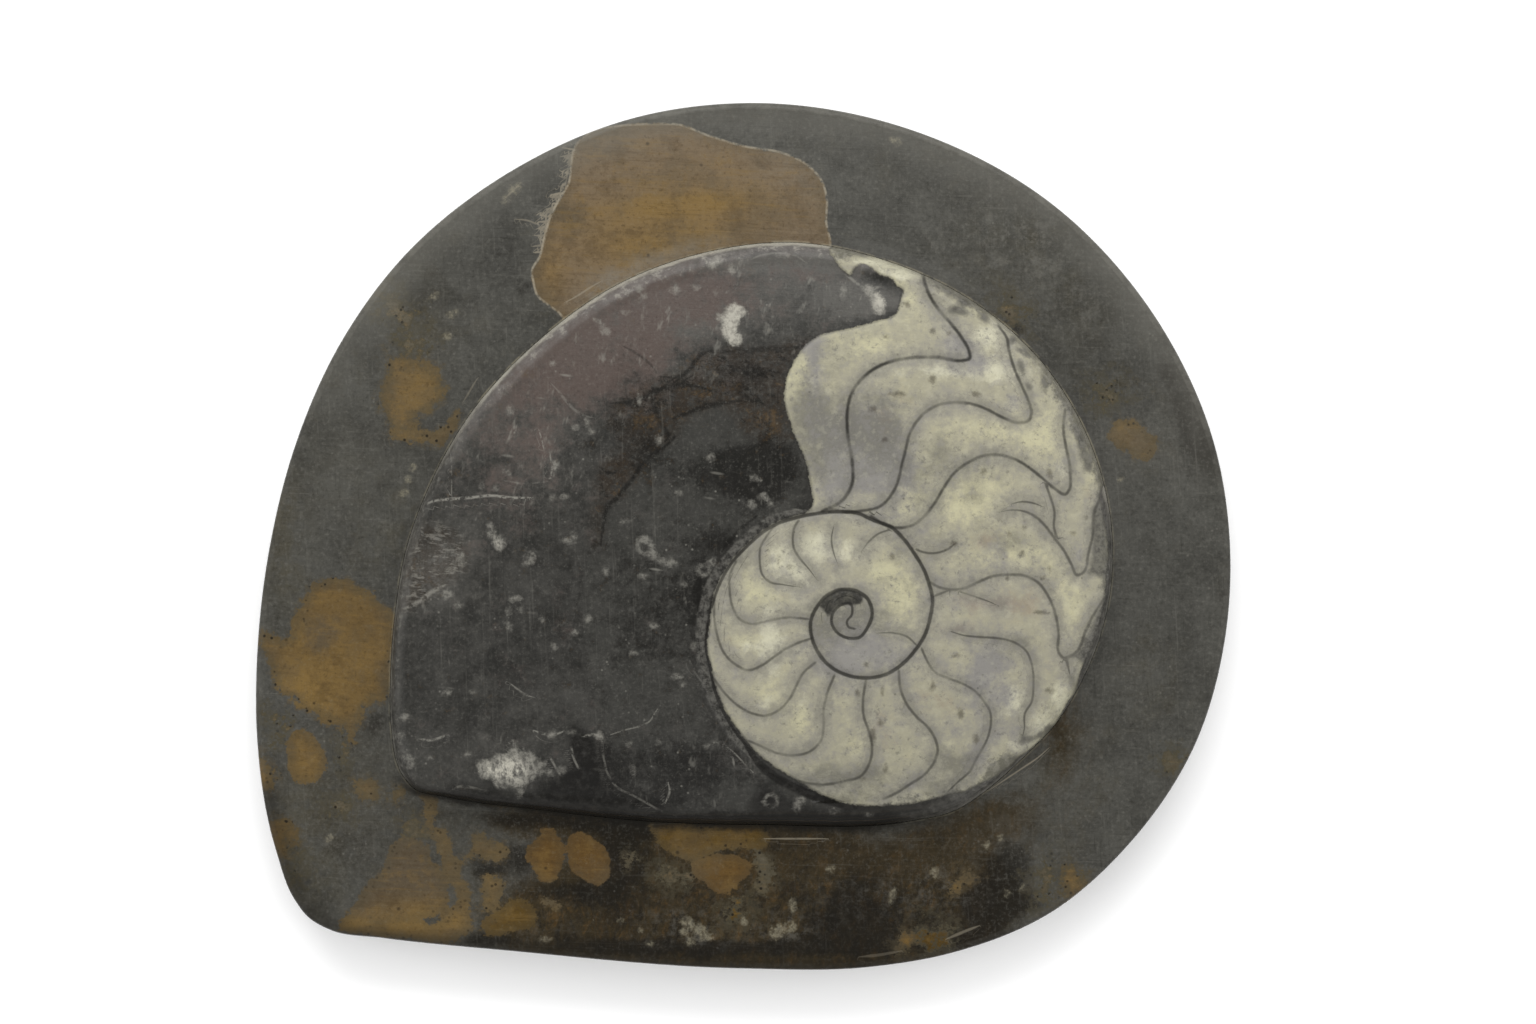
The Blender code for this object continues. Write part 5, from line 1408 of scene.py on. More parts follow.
        # A pale chipped line at the fossil's foot, made brighter on the high side as painted highlight
        chips_and_highlight = foot.fall(0.10, 0.36) * graph.cloud(3.4, 6.0, 0.76).rise(0.40, 0.58)
        colour = graph.blend(chips_and_highlight * (high * 0.25 + 0.30) * (1.0 - low), colour, self.fleck)
        # Worn pale outer edge, stronger on the high side as painted highlight
        worn = graph.drawn("edge").fall(0.1, 0.9) * graph.cloud(3.0, 6.0, 0.76).rise(0.34, 0.62)
        colour = graph.blend(worn * (high * 0.26 + 0.08), colour, self.scuff_and_highlight)
        # Painted highlight along the outer edge on the high side
        eased = graph.drawn("edge") + graph.stray(4.0, 3.0, 6.0, 0.76)
        colour = graph.blend(eased.fall(0.5, 6.5) * high * 0.30, colour, self.scuff_and_highlight)
        # Pale dust, and painted highlight along the top edge
        dust_and_highlight = graph.drawn("dust_and_highlight") * graph.cloud(2.0, 6.0, 0.78).rise(0.30, 0.62)
        colour = graph.blend(dust_and_highlight * 0.45, colour, self.scuff_and_highlight)
        # Painted shade along the outer edge on the low side
        return graph.blend(eased.fall(0.5, 4.5) * low * 0.50, colour, self.black)

    def build(self) -> bpy.types.Material:
        """Make the material.

        Returns:
            The finished material.
        """
        graph = Graph(self.name)
        ochre, cover = self.nodule(graph)
        colour = self.rim(graph, graph.blend(cover, self.stone(graph), ochre))
        ground = graph.drawn("ground")
        saw = graph.cloud(1.0, 3.0, 0.6, graph.stretched((0.04, 1.6, 1.6), 12.0))
        colour = graph.blend(ground * (saw * 0.35 + 0.2), colour, self.sawn)
        roughness = graph.cloud(3.0, 4.0).rise(0.3, 0.8) * 0.14 + ground * 0.38 + 0.22
        height = grain_height(graph) + saw * ground * 1.6
        return graph.close(colour, roughness, graph.raised(height, BUMP_DEPTH), self.specular)


def grain_height(graph: Graph) -> Wire:
    """The faint relief of a polished stone: fine grain and hair scratches."""
    hair = graph.cloud(1.0, 4.0, 0.65, graph.stretched((0.05, 3.0, 1.0), 4.0))
    return graph.cloud(0.45, 3.0, 0.6) * 0.35 + hair * 0.35


@dataclass(frozen=True)
class FossilFinish:
    """The polished fossil: a dark, stained body chamber and a pale coil of calcite chambers."""

    name: str = "fossil calcite"
    body_dark: Colour = (0.0135, 0.0132, 0.0116)
    body_light: Colour = (0.0330, 0.0320, 0.0285)
    lobe_stone: Colour = (0.0330, 0.0325, 0.0285)
    purple: Colour = (0.0620, 0.0455, 0.0390)
    paler: Colour = (0.0700, 0.0670, 0.0600)
    rust: Colour = (0.0620, 0.0400, 0.0180)
    umber: Colour = (0.0180, 0.0120, 0.0070)
    black: Colour = (0.0050, 0.0046, 0.0038)
    pale: Colour = (0.1900, 0.1820, 0.1580)
    # Bright crystal, also used for painted highlight on the crest and the edge's foot
    bright: Colour = (0.3300, 0.3150, 0.2650)
    shell: Colour = (0.0950, 0.0910, 0.0800)
    calcite: Colour = (0.2300, 0.2175, 0.1590)
    cream: Colour = (0.3300, 0.3120, 0.2050)
    white: Colour = (0.4200, 0.4050, 0.3000)
    lilac: Colour = (0.1600, 0.1530, 0.1450)
    tan: Colour = (0.1700, 0.1380, 0.1060)
    # Dull grey: dirt spots and chips, and painted shade beside the sutures and the coil's left edge
    grime_and_shade: Colour = (0.0900, 0.0860, 0.0720)
    line: Colour = (0.0120, 0.0115, 0.0095)
    wall_stone: Colour = (0.0400, 0.0385, 0.0340)
    # Colour of the lit crest: painted highlight and worn stone
    crest_wear_and_highlight: Colour = (0.1150, 0.1050, 0.0980)
    specular: float = 0.09

    def body(self, graph: Graph) -> Wire:
        """The stone that fills the body chamber, with its stains and shell grit.

        Args:
            graph: The material under construction.

        Returns:
            Its colour.
        """
        clouds = graph.cloud(14.0, 5.0, 0.6) * 0.35 + graph.cloud(3.4, 7.0, 0.76) * 0.65
        body = graph.blend(clouds.rise(0.36, 0.66), self.body_dark, self.body_light)
        haze = graph.drawn("paler") * 1.4 + graph.stray(2.2, 5.0, 8.0, 0.80)
        body = graph.blend(haze.rise(0.15, 1.10) * 0.80, body, self.paler)
        tint = graph.drawn("purple") * 1.2 + graph.stray(3.6, 5.0, 8.0, 0.80)
        body = graph.blend(tint.rise(0.20, 1.25) * 0.80, body, self.purple)
        body = graph.blend(graph.patch("lobe", 2.0, 1.0, 0.4) * 0.42, body, self.lobe_stone)
        brown = graph.patch("brown", 3.4, 3.0, 1.4)
        body = graph.blend(brown * graph.cloud(1.6, 7.0, 0.80).rise(0.34, 0.58) * 0.70, body, self.umber)
        broken = graph.cloud(2.0, 8.0, 0.82, graph.stretched((0.7, 1.2, 1.0), 20.0))
        body = graph.blend(brown * broken.rise(0.50, 0.60) * 0.80, body, self.black)
        body = graph.blend(brown * broken.fall(0.34, 0.42) * 0.60, body, self.rust)
        # Darker stone where drawn; by the wedge and the low edge this is painted shade
        shadow = (graph.drawn("black") * 1.5 + graph.stray(2.6, 3.2, 8.0, 0.82)).rise(0.35, 1.05)
        body = graph.blend(shadow * 0.85, body, self.black)
        rust = (graph.drawn("rust") + graph.stray(3.4, 1.6, 6.0, 0.80)).rise(0.30, 1.05)
        body = graph.blend(rust * 0.60, body, self.rust)
        body = graph.blend(graph.stroke("crack", 0.8, 0.7) * 0.92, body, self.black)
        return self.grit(graph, body)

    def grit(self, graph: Graph, body: Wire) -> Wire:
        """Lay fine grain, shell grit, nicks, pale patches and scratches on the body's stone.

        Args:
            graph: The material under construction.
            body: Colour of the body so far.

        Returns:
            The colour with these laid on it.
        """
        fine = graph.cloud(0.5, 4.0, 0.75)
        body = graph.blend(fine.rise(0.50, 0.78) * 0.17, body, self.pale)
        body = graph.blend(fine.fall(0.22, 0.47) * 0.45, body, self.black)
        worn = graph.cloud(1.0, 5.0, 0.74, graph.stretched((0.07, 1.8, 1.0), 88.0))
        body = graph.blend(worn.rise(0.55, 0.78) * 0.16, body, self.pale)
        cluster = graph.cloud(7.0, 5.0, 0.68)
        grit = graph.cells(1.5).fall(0.04, 0.16) * cluster.rise(0.47, 0.62)
        body = graph.blend(grit * 0.45, body, self.pale)
        nicks = graph.dashes(2.6, 82.0).most(graph.dashes(3.0, 8.0)) * graph.cloud(9.0, 3.0).rise(0.44, 0.60)
        body = graph.blend(nicks * 0.42, body, self.pale)
        smear = graph.cloud(1.0, 6.0, 0.80, graph.stretched((0.50, 0.20, 0.5), 12.0))
        streaks = smear.rise(0.56, 0.70) * graph.drawn("paler").rise(0.02, 0.4)
        body = graph.blend(streaks * 0.40, body, self.pale)
        crust = graph.patch("crust", 2.0, 1.6, 1.0)
        body = graph.blend(crust * graph.cloud(1.4, 7.0, 0.80).rise(0.34, 0.56) * 0.45, body, self.umber)
        ribs = graph.cloud(1.0, 6.0, 0.80, graph.stretched((0.45, 1.3, 0.6), 4.0))
        body = graph.blend(crust * ribs.rise(0.50, 0.62) * 0.40, body, self.pale)
        # Painted shadow in the black wedge and along the fossil's low edge
        painted_shadow = graph.patch("painted_shadow", 3.0, 2.6, 1.2)
        body = graph.blend(painted_shadow * 0.88, body, self.black)
        return self.shell_bits(graph, body)

    def shell_bits(self, graph: Graph, body: Wire) -> Wire:
        """Lay the drawn pale patches, brighter where they shine, and the scratches.

        Args:
            graph: The material under construction.
            body: Colour of the body so far.

        Returns:
            The colour with these laid on it.
        """
        shine = graph.drawn("shine")
        patch = graph.patch("pale", 0.9, 0.9, 0.36)
        needles = graph.cloud(1.2, 6.0, 0.80, graph.stretched((1.0, 0.35, 1.0), -12.0))
        solid = graph.drawn("solid")
        tone = graph.blend((shine * needles.rise(0.42, 0.56)).most(solid * 0.6), self.pale, self.bright)
        cover = graph.cloud(0.7, 5.0, 0.80).rise(0.36, 0.60) * 0.46 + 0.10
        cover = cover + shine * needles.rise(0.40, 0.54) * 0.60 + solid * 0.38
        body = graph.blend(patch * cover, body, tone)
        broken = graph.cloud(1.1, 6.0, 0.80).rise(0.40, 0.56)
        return graph.blend(graph.stroke("scratch", 0.9, 0.6) * broken * 0.85, body, self.pale)

    def coil(self, graph: Graph) -> Wire:
        """The calcite of the chambers, greyer beside each suture, with the sutures drawn on it.

        Args:
            graph: The material under construction.

        Returns:
            Its colour.
        """
        mottle = graph.cloud(2.6, 7.0, 0.76)
        ripe = graph.drawn("cream") * 1.1 + (mottle - 0.5) * 3.0 + 0.05
        coil = graph.blend(ripe.rise(0.0, 1.1), self.calcite, self.cream)
        bright = graph.drawn("white") + graph.stray(2.2, 1.9, 6.0, 0.76)
        coil = graph.blend(bright.rise(0.15, 1.0) * 0.8, coil, self.white)
        grey = graph.drawn("lilac") * 1.1 + graph.stray(2.6, 3.2, 7.0, 0.76)
        coil = graph.blend(grey.rise(0.15, 1.0) * 0.9, coil, self.lilac)
        tanned = graph.drawn("tan") + (mottle - 0.5) * 2.6
        coil = graph.blend(tanned.rise(0.15, 0.95) * 0.7, coil, self.tan)
        # Greyer calcite beside the sutures and the seam, also standing in for the shade where the chambers
        # swell away from them
        halo = graph.drawn("halo") + graph.stray(5.0, 2.2, 6.0, 0.78)
        coil = graph.blend(halo.fall(0.3, 3.0) * 0.42, coil, self.lilac)
        coil = graph.blend(halo.fall(0.0, 1.6) * 0.40, coil, self.grime_and_shade)
        # Grey patches of calcite, partly painted shade by the coil's left edge
        smoke_and_shade = graph.drawn("smoke_and_shade") * 1.1 + graph.stray(2.6, 3.8, 7.0, 0.78)
        coil = graph.blend(smoke_and_shade.rise(0.05, 1.2) * 0.70, coil, self.grime_and_shade)
        return self.blemish(graph, coil)

    def blemish(self, graph: Graph, coil: Wire) -> Wire:
        """Lay spots, pits, chips, the dirty outer rind and the sutures on the calcite.

        Args:
            graph: The material under construction.
            coil: Colour of the calcite so far.

        Returns:
            The colour with these laid on it.
        """
        spots = graph.cloud(0.8, 5.0, 0.78).rise(0.52, 0.68) * graph.cloud(4.0, 5.0, 0.66).rise(0.42, 0.56)
        coil = graph.blend(spots * 0.60, coil, self.grime_and_shade)
        dapple = graph.cloud(1.5, 4.0, 0.70)
        coil = graph.blend(dapple.rise(0.50, 0.66) * 0.34, coil, self.lilac)
        coil = graph.blend(dapple.fall(0.34, 0.50) * 0.12, coil, self.white)
        pits = graph.cells(2.4).fall(0.03, 0.10) * graph.cloud(6.0, 2.0).rise(0.44, 0.56)
        coil = graph.blend(pits * 0.40, coil, self.line)
        coil = graph.blend(graph.patch("speck", 0.7, 0.7, 0.35) * 0.55, coil, self.umber)
        ruin = graph.cloud(1.2, 7.0, 0.80)
        chip = graph.blend(ruin.rise(0.38, 0.60), self.wall_stone, self.grime_and_shade)
        coil = graph.blend(graph.patch("bare", 1.2, 1.0, 0.45) * 0.88, coil, chip)
        fringe = graph.drawn("rind") + graph.stray(9.0, 2.8, 7.0, 0.80)
        broken = graph.blend(ruin.rise(0.44, 0.56), self.wall_stone, self.shell)
        whitish = graph.drawn("white").rise(0.05, 0.5)
        coil = graph.blend(fringe.fall(-1.2, 0.3) * (0.72 - whitish * 0.6), coil, broken)
        faint = graph.cloud(5.0, 4.0, 0.6).rise(0.32, 0.58) * 0.50 + 0.40
        coil = graph.blend(graph.stroke("suture", 0.40, 0.75) * faint, coil, self.line)
        return graph.blend(graph.stroke("seam", 0.30, 0.45) * (faint * 0.4 + 0.5), coil, self.line)

    def wall(self, graph: Graph, colour: Wire, inside: Wire) -> Wire:
        """Lay bare stone on the steep edge, with its turned lines, a crest and foot lit by painted highlight
        and mottled with worn stone on the high side, and painted shade with rust-brown lines on the low
        side.

        Args:
            graph: The material under construction.
            colour: Colour of the fossil so far.
            inside: Cover of the coil, which stays clean where it runs over the edge.

        Returns:
            The colour with the edge laid on it.
        """
        wall, low, high = graph.drawn("wall"), graph.drawn("low"), graph.drawn("high")
        right = graph.drawn("right")
        ragged = wall + graph.stray(0.7, 1.4, 6.0, 0.78)
        scored = graph.rings("drop", 0.45)
        stone = graph.blend(graph.cloud(2.2, 7.0, 0.78).rise(0.34, 0.58), self.wall_stone, self.paler)
        stone = graph.blend(scored.rise(0.46, 0.66) * 0.22, stone, self.pale)
        stone = graph.blend(scored.fall(0.30, 0.46) * (0.45 - high * 0.38), stone, self.black)
        bare = 1.0 - inside * 0.9
        laid_bare = ragged.fall(0.72, 1.05) * (right * 0.25 + 0.48) * bare * (1.0 - high * 0.55)
        colour = graph.blend(laid_bare, colour, stone)
        # Painted highlight on the crest that faces the key light, mottled with worn pale stone
        lip = graph.drawn("rind") + graph.stray(5.0, 2.0, 8.0, 0.82)
        worn = graph.cloud(2.4, 7.0, 0.80)
        crest_wear_and_highlight = lip.fall(-0.9, 1.0) * high * bare
        colour = graph.blend(crest_wear_and_highlight * (worn.rise(0.36, 0.54) * 0.45 + 0.25), colour, self.crest_wear_and_highlight)
        colour = graph.blend(crest_wear_and_highlight * worn.rise(0.52, 0.62) * 0.35, colour, self.bright)
        # Painted highlight at the edge's foot on the high side
        foot = wall.fall(0.30, 0.72) * (worn.rise(0.34, 0.52) * 0.40 + 0.42)
        colour = graph.blend(foot * high * bare, colour, self.bright)
        side = (1.0 - low) * (1.0 - high * 0.8) * bare
        colour = graph.blend(wall.fall(0.10, 0.42) * side * worn.rise(0.34, 0.50) * 0.40, colour, self.pale)
        scuffs = graph.cloud(0.9, 5.0, 0.74)
        flank = wall.fall(0.70, 0.96) * side
        colour = graph.blend(flank * scuffs.rise(0.52, 0.66) * 0.30, colour, self.pale)
        colour = graph.blend(flank * scuffs.fall(0.34, 0.48) * 0.50, colour, self.black)
        # Painted shade: the low side of the edge, which falls away, painted black
        colour = graph.blend(ragged.fall(0.7, 1.05) * low * 0.94, colour, self.black)
        return graph.blend(scored.rise(0.50, 0.64) * low * wall.fall(0.6, 1.0) * 0.45, colour, self.rust)

    def build(self) -> bpy.types.Material:
        """Make the material.

        Returns:
            The finished material.
        """
        graph = Graph(self.name)
        inside = graph.patch("coil", 1.0, 0.46, 0.12)
        body = self.body(graph)
        shell = graph.stroke("shell", 0.45, 0.3)
        husk = graph.blend(graph.cloud(1.0, 6.0, 0.8).rise(0.36, 0.62), self.body_dark, self.shell)
        body = graph.blend(shell * 0.65, body, husk)
        # Painted shade: the moat's groove painted black
        body = graph.blend(graph.stroke("moat", 0.35, 0.3) * 0.92, body, self.black)
        colour = graph.blend(inside, body, self.coil(graph))
        # Dark line along the coil's edge, also standing in for the soft shade beside it
        colour = graph.blend(graph.drawn("coil").size().fall(0.05, 0.40) * 0.40, colour, self.line)
        fill = graph.patch("fill", 0.8, 0.35, 0.25)
        fill = fill * (graph.cloud(1.4, 5.0, 0.75).rise(0.3, 0.6) * 0.25 + 0.68)
        colour = self.wall(graph, graph.blend(fill, colour, self.body_dark), inside)
        ground = graph.drawn("wall").fall(0.7, 1.0)
        roughness = graph.cloud(2.0, 4.0).rise(0.3, 0.8) * 0.14 + ground * 0.15 + 0.20
        height = grain_height(graph) + graph.drawn("halo").rise(0.2, 1.2) * inside
        return graph.close(colour, roughness, graph.raised(height, BUMP_DEPTH), self.specular)


@dataclass(frozen=True)
class FloorFinish:
    """A plain pale floor."""

    name: str = "pale floor"
    colour: Colour = (0.93, 0.93, 0.93)
    roughness: float = 0.9

    def build(self) -> bpy.types.Material:
        """Make the material.

        Returns:
            The finished material.
        """
        graph = Graph(self.name)
        values = {"Base Color": self.colour, "Roughness": self.roughness, "Specular IOR Level": 0.0}
        graph.node_output(graph.node("ShaderNodeBsdfPrincipled", None, values))
        return graph.material


# ---------------------------------------------------------------- turned stones


class Outline:
    """A closed outline, read as a distance from the hub in each direction."""

    def __init__(self, knots: Sequence[Point]) -> None:
        """Sample the outline.

        Args:
            knots: Points the outline passes through.
        """
        arm = smooth_path(knots, closed=True, step=OUTLINE_SAMPLE)[:-1] - np.array(HUB)
        angle = np.arctan2(arm[:, 1], arm[:, 0]) % math.tau
        order = np.argsort(angle)
        self.angles = angle[order]
        self.radii = np.linalg.norm(arm, axis=1)[order]

    def radius(self, angle: np.ndarray) -> np.ndarray:
        """Distance from the hub to the outline at each angle."""
        return np.interp(np.asarray(angle) % math.tau, self.angles, self.radii, period=math.tau)


SLAB = Outline(SLAB_OUTLINE)
FOSSIL = Outline(FOSSIL_OUTLINE)
SWEEP_SAMPLES = 7201        # angles at which the turning of the outlines is measured
TURN_WEIGHT = 0.35          # how much a turn draws the stations together

# Where the sides that look different begin, and over how much they fade
LOW_TOP, LOW_FADE = -34.0, 3.0
LOW_END, LOW_END_FADE = 32.0, 12.0
HIGH_START, HIGH_FADE = 0.30, 0.25
RIGHT_START, RIGHT_FADE = 0.15, 0.35


def station_angles(count: int) -> np.ndarray:
    """Angles round both outlines, closer together where either outline turns sharply.

    Args:
        count: How many angles are wanted.

    Returns:
        The angles, rising from 0.
    """
    angle = np.linspace(0.0, math.tau, SWEEP_SAMPLES)
    weight = np.zeros(len(angle) - 1)
    for outline in (SLAB, FOSSIL):
        radius = outline.radius(angle)
        step = np.diff(np.column_stack((radius * np.cos(angle), radius * np.sin(angle))), axis=0)
        heading = np.unwrap(np.arctan2(step[:, 1], step[:, 0]))
        length = np.linalg.norm(step, axis=1)
        turning = np.abs(np.diff(heading, append=heading[0] + math.tau))
        weight += length / length.sum() + TURN_WEIGHT * turning / math.tau
    passed = np.concatenate(([0.0], np.cumsum(weight)))
    return np.interp(np.arange(count) / count * passed[-1], passed, angle)


def edge_run(angle: np.ndarray) -> np.ndarray:
    """How far the fossil's edge leans in at each angle: more on the low side."""
    return EDGE_RUN + LOW_SIDE_RUN * np.maximum(0.0, -np.sin(angle))


def low_side(plan: np.ndarray) -> np.ndarray:
    """1 along the plaque's straight edge, fading to 0 above it and towards its round end."""
    below = np.clip((LOW_TOP - plan[:, 1]) / LOW_FADE, 0.0, 1.0)
    return below * np.clip((LOW_END - plan[:, 0]) / LOW_END_FADE, 0.0, 1.0)


def high_side(angle: np.ndarray) -> np.ndarray:
    """1 on the side that faces the plaque's round back, fading to 0 on the others."""
    return np.clip((np.sin(angle) - HIGH_START) / HIGH_FADE, 0.0, 1.0)


def right_side(angle: np.ndarray) -> np.ndarray:
    """1 on the side of the plaque's widest rim, fading to 0 on the others."""
    return np.clip((np.cos(angle) - RIGHT_START) / RIGHT_FADE, 0.0, 1.0)


def dome_height(share: np.ndarray) -> np.ndarray:
    """Height of the dome at a share of the way from the hub to the top of its edge."""
    return FOSSIL_EDGE_HEIGHT + (FOSSIL_CROWN_HEIGHT - FOSSIL_EDGE_HEIGHT) * (1.0 - share**DOME_POWER)


def ripple(places: np.ndarray, size: float, shift: float = 0.0) -> np.ndarray:
    """Smooth noise between -1 and 1 at each place, with lumps of a given size."""
    return np.array([noise.noise(Vector(place)) for place in (places / size + shift).tolist()])


@dataclass(frozen=True)
class Waves:
    """Smooth waves in a surface: the size of their lumps, their height and a shift of their noise."""

    size: float
    height: float
    shift: float = 0.0

    def at(self, places: np.ndarray) -> np.ndarray:
        """Height of the waves at each place."""
        return ripple(places, self.size, self.shift) * self.height


@dataclass
class TurnedStone:
    """A stone turned round the hub: rings of points, each fitted to its place in every direction."""

    name: str
    node: str
    slot: str
    stations: int
    fields: dict[str, np.ndarray] = field(default_factory=dict)
    shades: dict[str, np.ndarray] = field(default_factory=dict)

    def sections(self, angles: np.ndarray) -> tuple[np.ndarray, np.ndarray]:
        """Radius and height of each ring (rows) at each angle (columns)."""
        raise NotImplementedError

    def carve(self, places: np.ndarray, ring: np.ndarray) -> np.ndarray:
        """Change the turned places into the finished ones, and keep the drawn fields."""
        raise NotImplementedError

    def turn(self) -> bpy.types.Object:
        """Spin a plain profile once round, move each point to its place and carve it.

        Returns:
            The finished object.
        """
        angles = station_angles(self.stations)
        radius, height = self.sections(angles)
        rings = len(radius)
        bm = bmesh.new()
        chain = [bm.verts.new((0.0 if k in (0, rings - 1) else 1.0, 0.0, float(k))) for k in range(rings)]
        links = [bm.edges.new(pair) for pair in zip(chain, chain[1:])]
        axis = {"cent": (0, 0, 0), "axis": (0, 0, 1)}
        bmesh.ops.spin(bm, geom=chain + links, angle=math.tau / SECTORS,
                       steps=self.stations // SECTORS, **axis)
        part = bm.verts[:] + bm.edges[:] + bm.faces[:]
        bmesh.ops.spin(bm, geom=part, angle=math.tau * (SECTORS - 1) / SECTORS, steps=SECTORS - 1,
                       use_duplicate=True, **axis)
        bmesh.ops.remove_doubles(bm, verts=bm.verts, dist=WELD)
        bmesh.ops.recalc_face_normals(bm, faces=bm.faces)
        mesh = bpy.data.meshes.new(self.name)
        bm.to_mesh(mesh)
        bm.free()
        places = np.empty(len(mesh.vertices) * 3)
        mesh.vertices.foreach_get("co", places)
        places = places.reshape(-1, 3)
        ring = np.rint(places[:, 2]).astype(int)
        step = np.arctan2(places[:, 1], places[:, 0]) / math.tau * self.stations
        station = np.rint(step).astype(int) % self.stations
        reach = radius[ring, station]
        places = np.column_stack((HUB[0] + reach * np.cos(angles[station]),
                                  HUB[1] + reach * np.sin(angles[station]), height[ring, station]))
        places = self.carve(places, ring)
        mesh.vertices.foreach_set("co", (places * MM).ravel())
        for key, values in self.fields.items():
            mesh.attributes.new(key, "FLOAT", "POINT").data.foreach_set("value", values.astype(np.float32))
        for key, shade in self.shades.items():
            colours = np.column_stack((shade, np.ones(len(shade)))).astype(np.float32)
            mesh.attributes.new(key, "FLOAT_COLOR", "POINT").data.foreach_set("color", colours.ravel())
        mesh.shade_smooth()
        mesh.set_sharp_from_angle(angle=math.radians(SHARP_EDGE))
        mesh.update()
        thing = bpy.data.objects.new(self.name, mesh)
        bpy.context.scene.collection.objects.link(thing)
        return thing

    def build(self, material: bpy.types.Material) -> bpy.types.Object:
        """Make the stone, dress it and set it in the frame.

        Args:
            material: The stone's finish.

        Returns:
            The finished object.
        """
        thing = self.turn()
        thing.data.materials.append(material)
        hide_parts(self.node)
        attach(thing, "root")
        log.info("%s: %d vertices, %d fields", self.name, len(thing.data.vertices), len(self.fields))
        return thing


@dataclass
class StoneSlab(TurnedStone):
    """The limestone slab: flat base, ground side, eased edge, sloping rim and the fossil's pocket."""

    name: str = "limestone_slab"
    node: str = "stone_slab"
    slot: str = "slab_limestone"
    stations: int = 880
    base_rings: int = 3
    side_rings: int = 9
    edge_rings: int = 4
    rim_rings: int = 86
    base_share: float = 0.5
    lip: float = 0.6
    waves: tuple[Waves, ...] = (Waves(17.0, 0.10), Waves(5.0, 0.03, 3.0))
    settle: float = 0.12
    foot_reach: float = 0.5
    edge_fade: float = 3.0
    foot_fade: float = 2.0
    lumps: Waves = Waves(6.0, 0.5)

    def sections(self, angles: np.ndarray) -> tuple[np.ndarray, np.ndarray]:
        """Lay out the rings.

        Args:
            angles: Angle of each station.

        Returns:
            Radius and height of each ring (rows) at each angle (columns).
        """
        outside = SLAB.radius(angles) - SKIN
        pocket = FOSSIL.radius(angles) - SKIN + SEAM
        zero = np.zeros_like(angles)
        top = SIDE_HEIGHT + EDGE_BEVEL - SKIN
        rows = [(zero, zero), (outside * self.base_share, zero), (outside - BASE_BEVEL, zero)]
        rows += [(outside, zero + z) for z in np.linspace(BASE_BEVEL, SIDE_HEIGHT - SKIN, self.side_rings)]
        for step in np.linspace(0.0, math.pi / 2, self.edge_rings + 1)[1:]:
            rows.append((outside - EDGE_BEVEL * (1 - math.cos(step)),
                         zero + top - EDGE_BEVEL * (1 - math.sin(step))))
        start = outside - EDGE_BEVEL
        for share in np.linspace(0.0, 1.0, self.rim_rings + 1)[1:]:
            rows.append((start + (pocket - start) * share,
                         zero + top + (RIM_FOOT_HEIGHT - SKIN - top) * share))
        rows += [(pocket, zero + RIM_FOOT_HEIGHT - self.lip), (pocket, zero + POCKET_FLOOR),
                 (zero, zero + POCKET_FLOOR)]
        return np.array([row[0] for row in rows]), np.array([row[1] for row in rows])

    def carve(self, places: np.ndarray, ring: np.ndarray) -> np.ndarray:
        """Let the rim roll a little, and measure the nodules, stains and marks.

        Args:
            places: Turned places, one row each.
            ring: Ring of each place.

        Returns:
            The finished places.
        """
        plan = places[:, :2]
        arm = plan - np.array(HUB)
        angle = np.arctan2(arm[:, 1], arm[:, 0])
        reach = np.linalg.norm(arm, axis=1)
        foot = reach - FOSSIL.radius(angle)
        edge = SLAB.radius(angle) - SKIN - reach
        top = ring >= self.base_rings + self.side_rings + self.edge_rings
        on_rim = top & (foot > -self.foot_reach)
        fade = np.clip(edge / self.edge_fade, 0.0, 1.0) * np.clip(foot / self.foot_fade, 0.0, 1.0)
        roll = sum(waves.at(places) for waves in self.waves)
        places[on_rim, 2] += (fade * (roll - self.settle))[on_rim]
        ochre = np.full(len(plan), -FAR)
        fray = np.zeros(len(plan))
        border = np.zeros(len(plan))
        shade = np.tile(Tone.PLAIN.value, (len(plan), 1))
        for nodule in NODULES:
            depth = nodule.patch.inside(plan)
            closer = depth > ochre
            ochre[closer] = depth[closer]
            fray[closer] = nodule.fray
            border[closer] = nodule.border
            shade[closer] = nodule.tone.value
        sunk = np.where(top, 0.0, np.clip(SIDE_HEIGHT - places[:, 2], 0.0, None))
        ochre -= sunk * NODULE_TAPER * (1.0 + self.lumps.at(places))
        mark, mark_ink, _ = ink(plan, (*RIM_MARKS, *crystal_hairs()))
        mark_ink = mark_ink * np.clip(1.0 - sunk / MARK_DEPTH, 0.0, 1.0)
        self.shades = {"nodule": shade}
        self.fields = {
            "ochre": ochre, "fray": fray, "border": border, "mark": mark, "mark_ink": mark_ink,
            "foot": np.where(top, foot, FAR), "edge": np.where(top, edge, 0.0),
            "low": low_side(plan), "high": high_side(angle), "fleck": deepest(plan, FLECKS),
            "ground": np.where(ring < self.base_rings + self.side_rings, 1.0, 0.0),
        }
        washes = {"stain": STAIN, "gold": GOLD, "darker": DARKER, "ash": ASH, "olive": OLIVE,
                  "dust_and_highlight": DUST_AND_HIGHLIGHT, "crumb": CRUMBS}
        for key, spots in washes.items():
            self.fields[key] = wash(plan, spots)
        return places


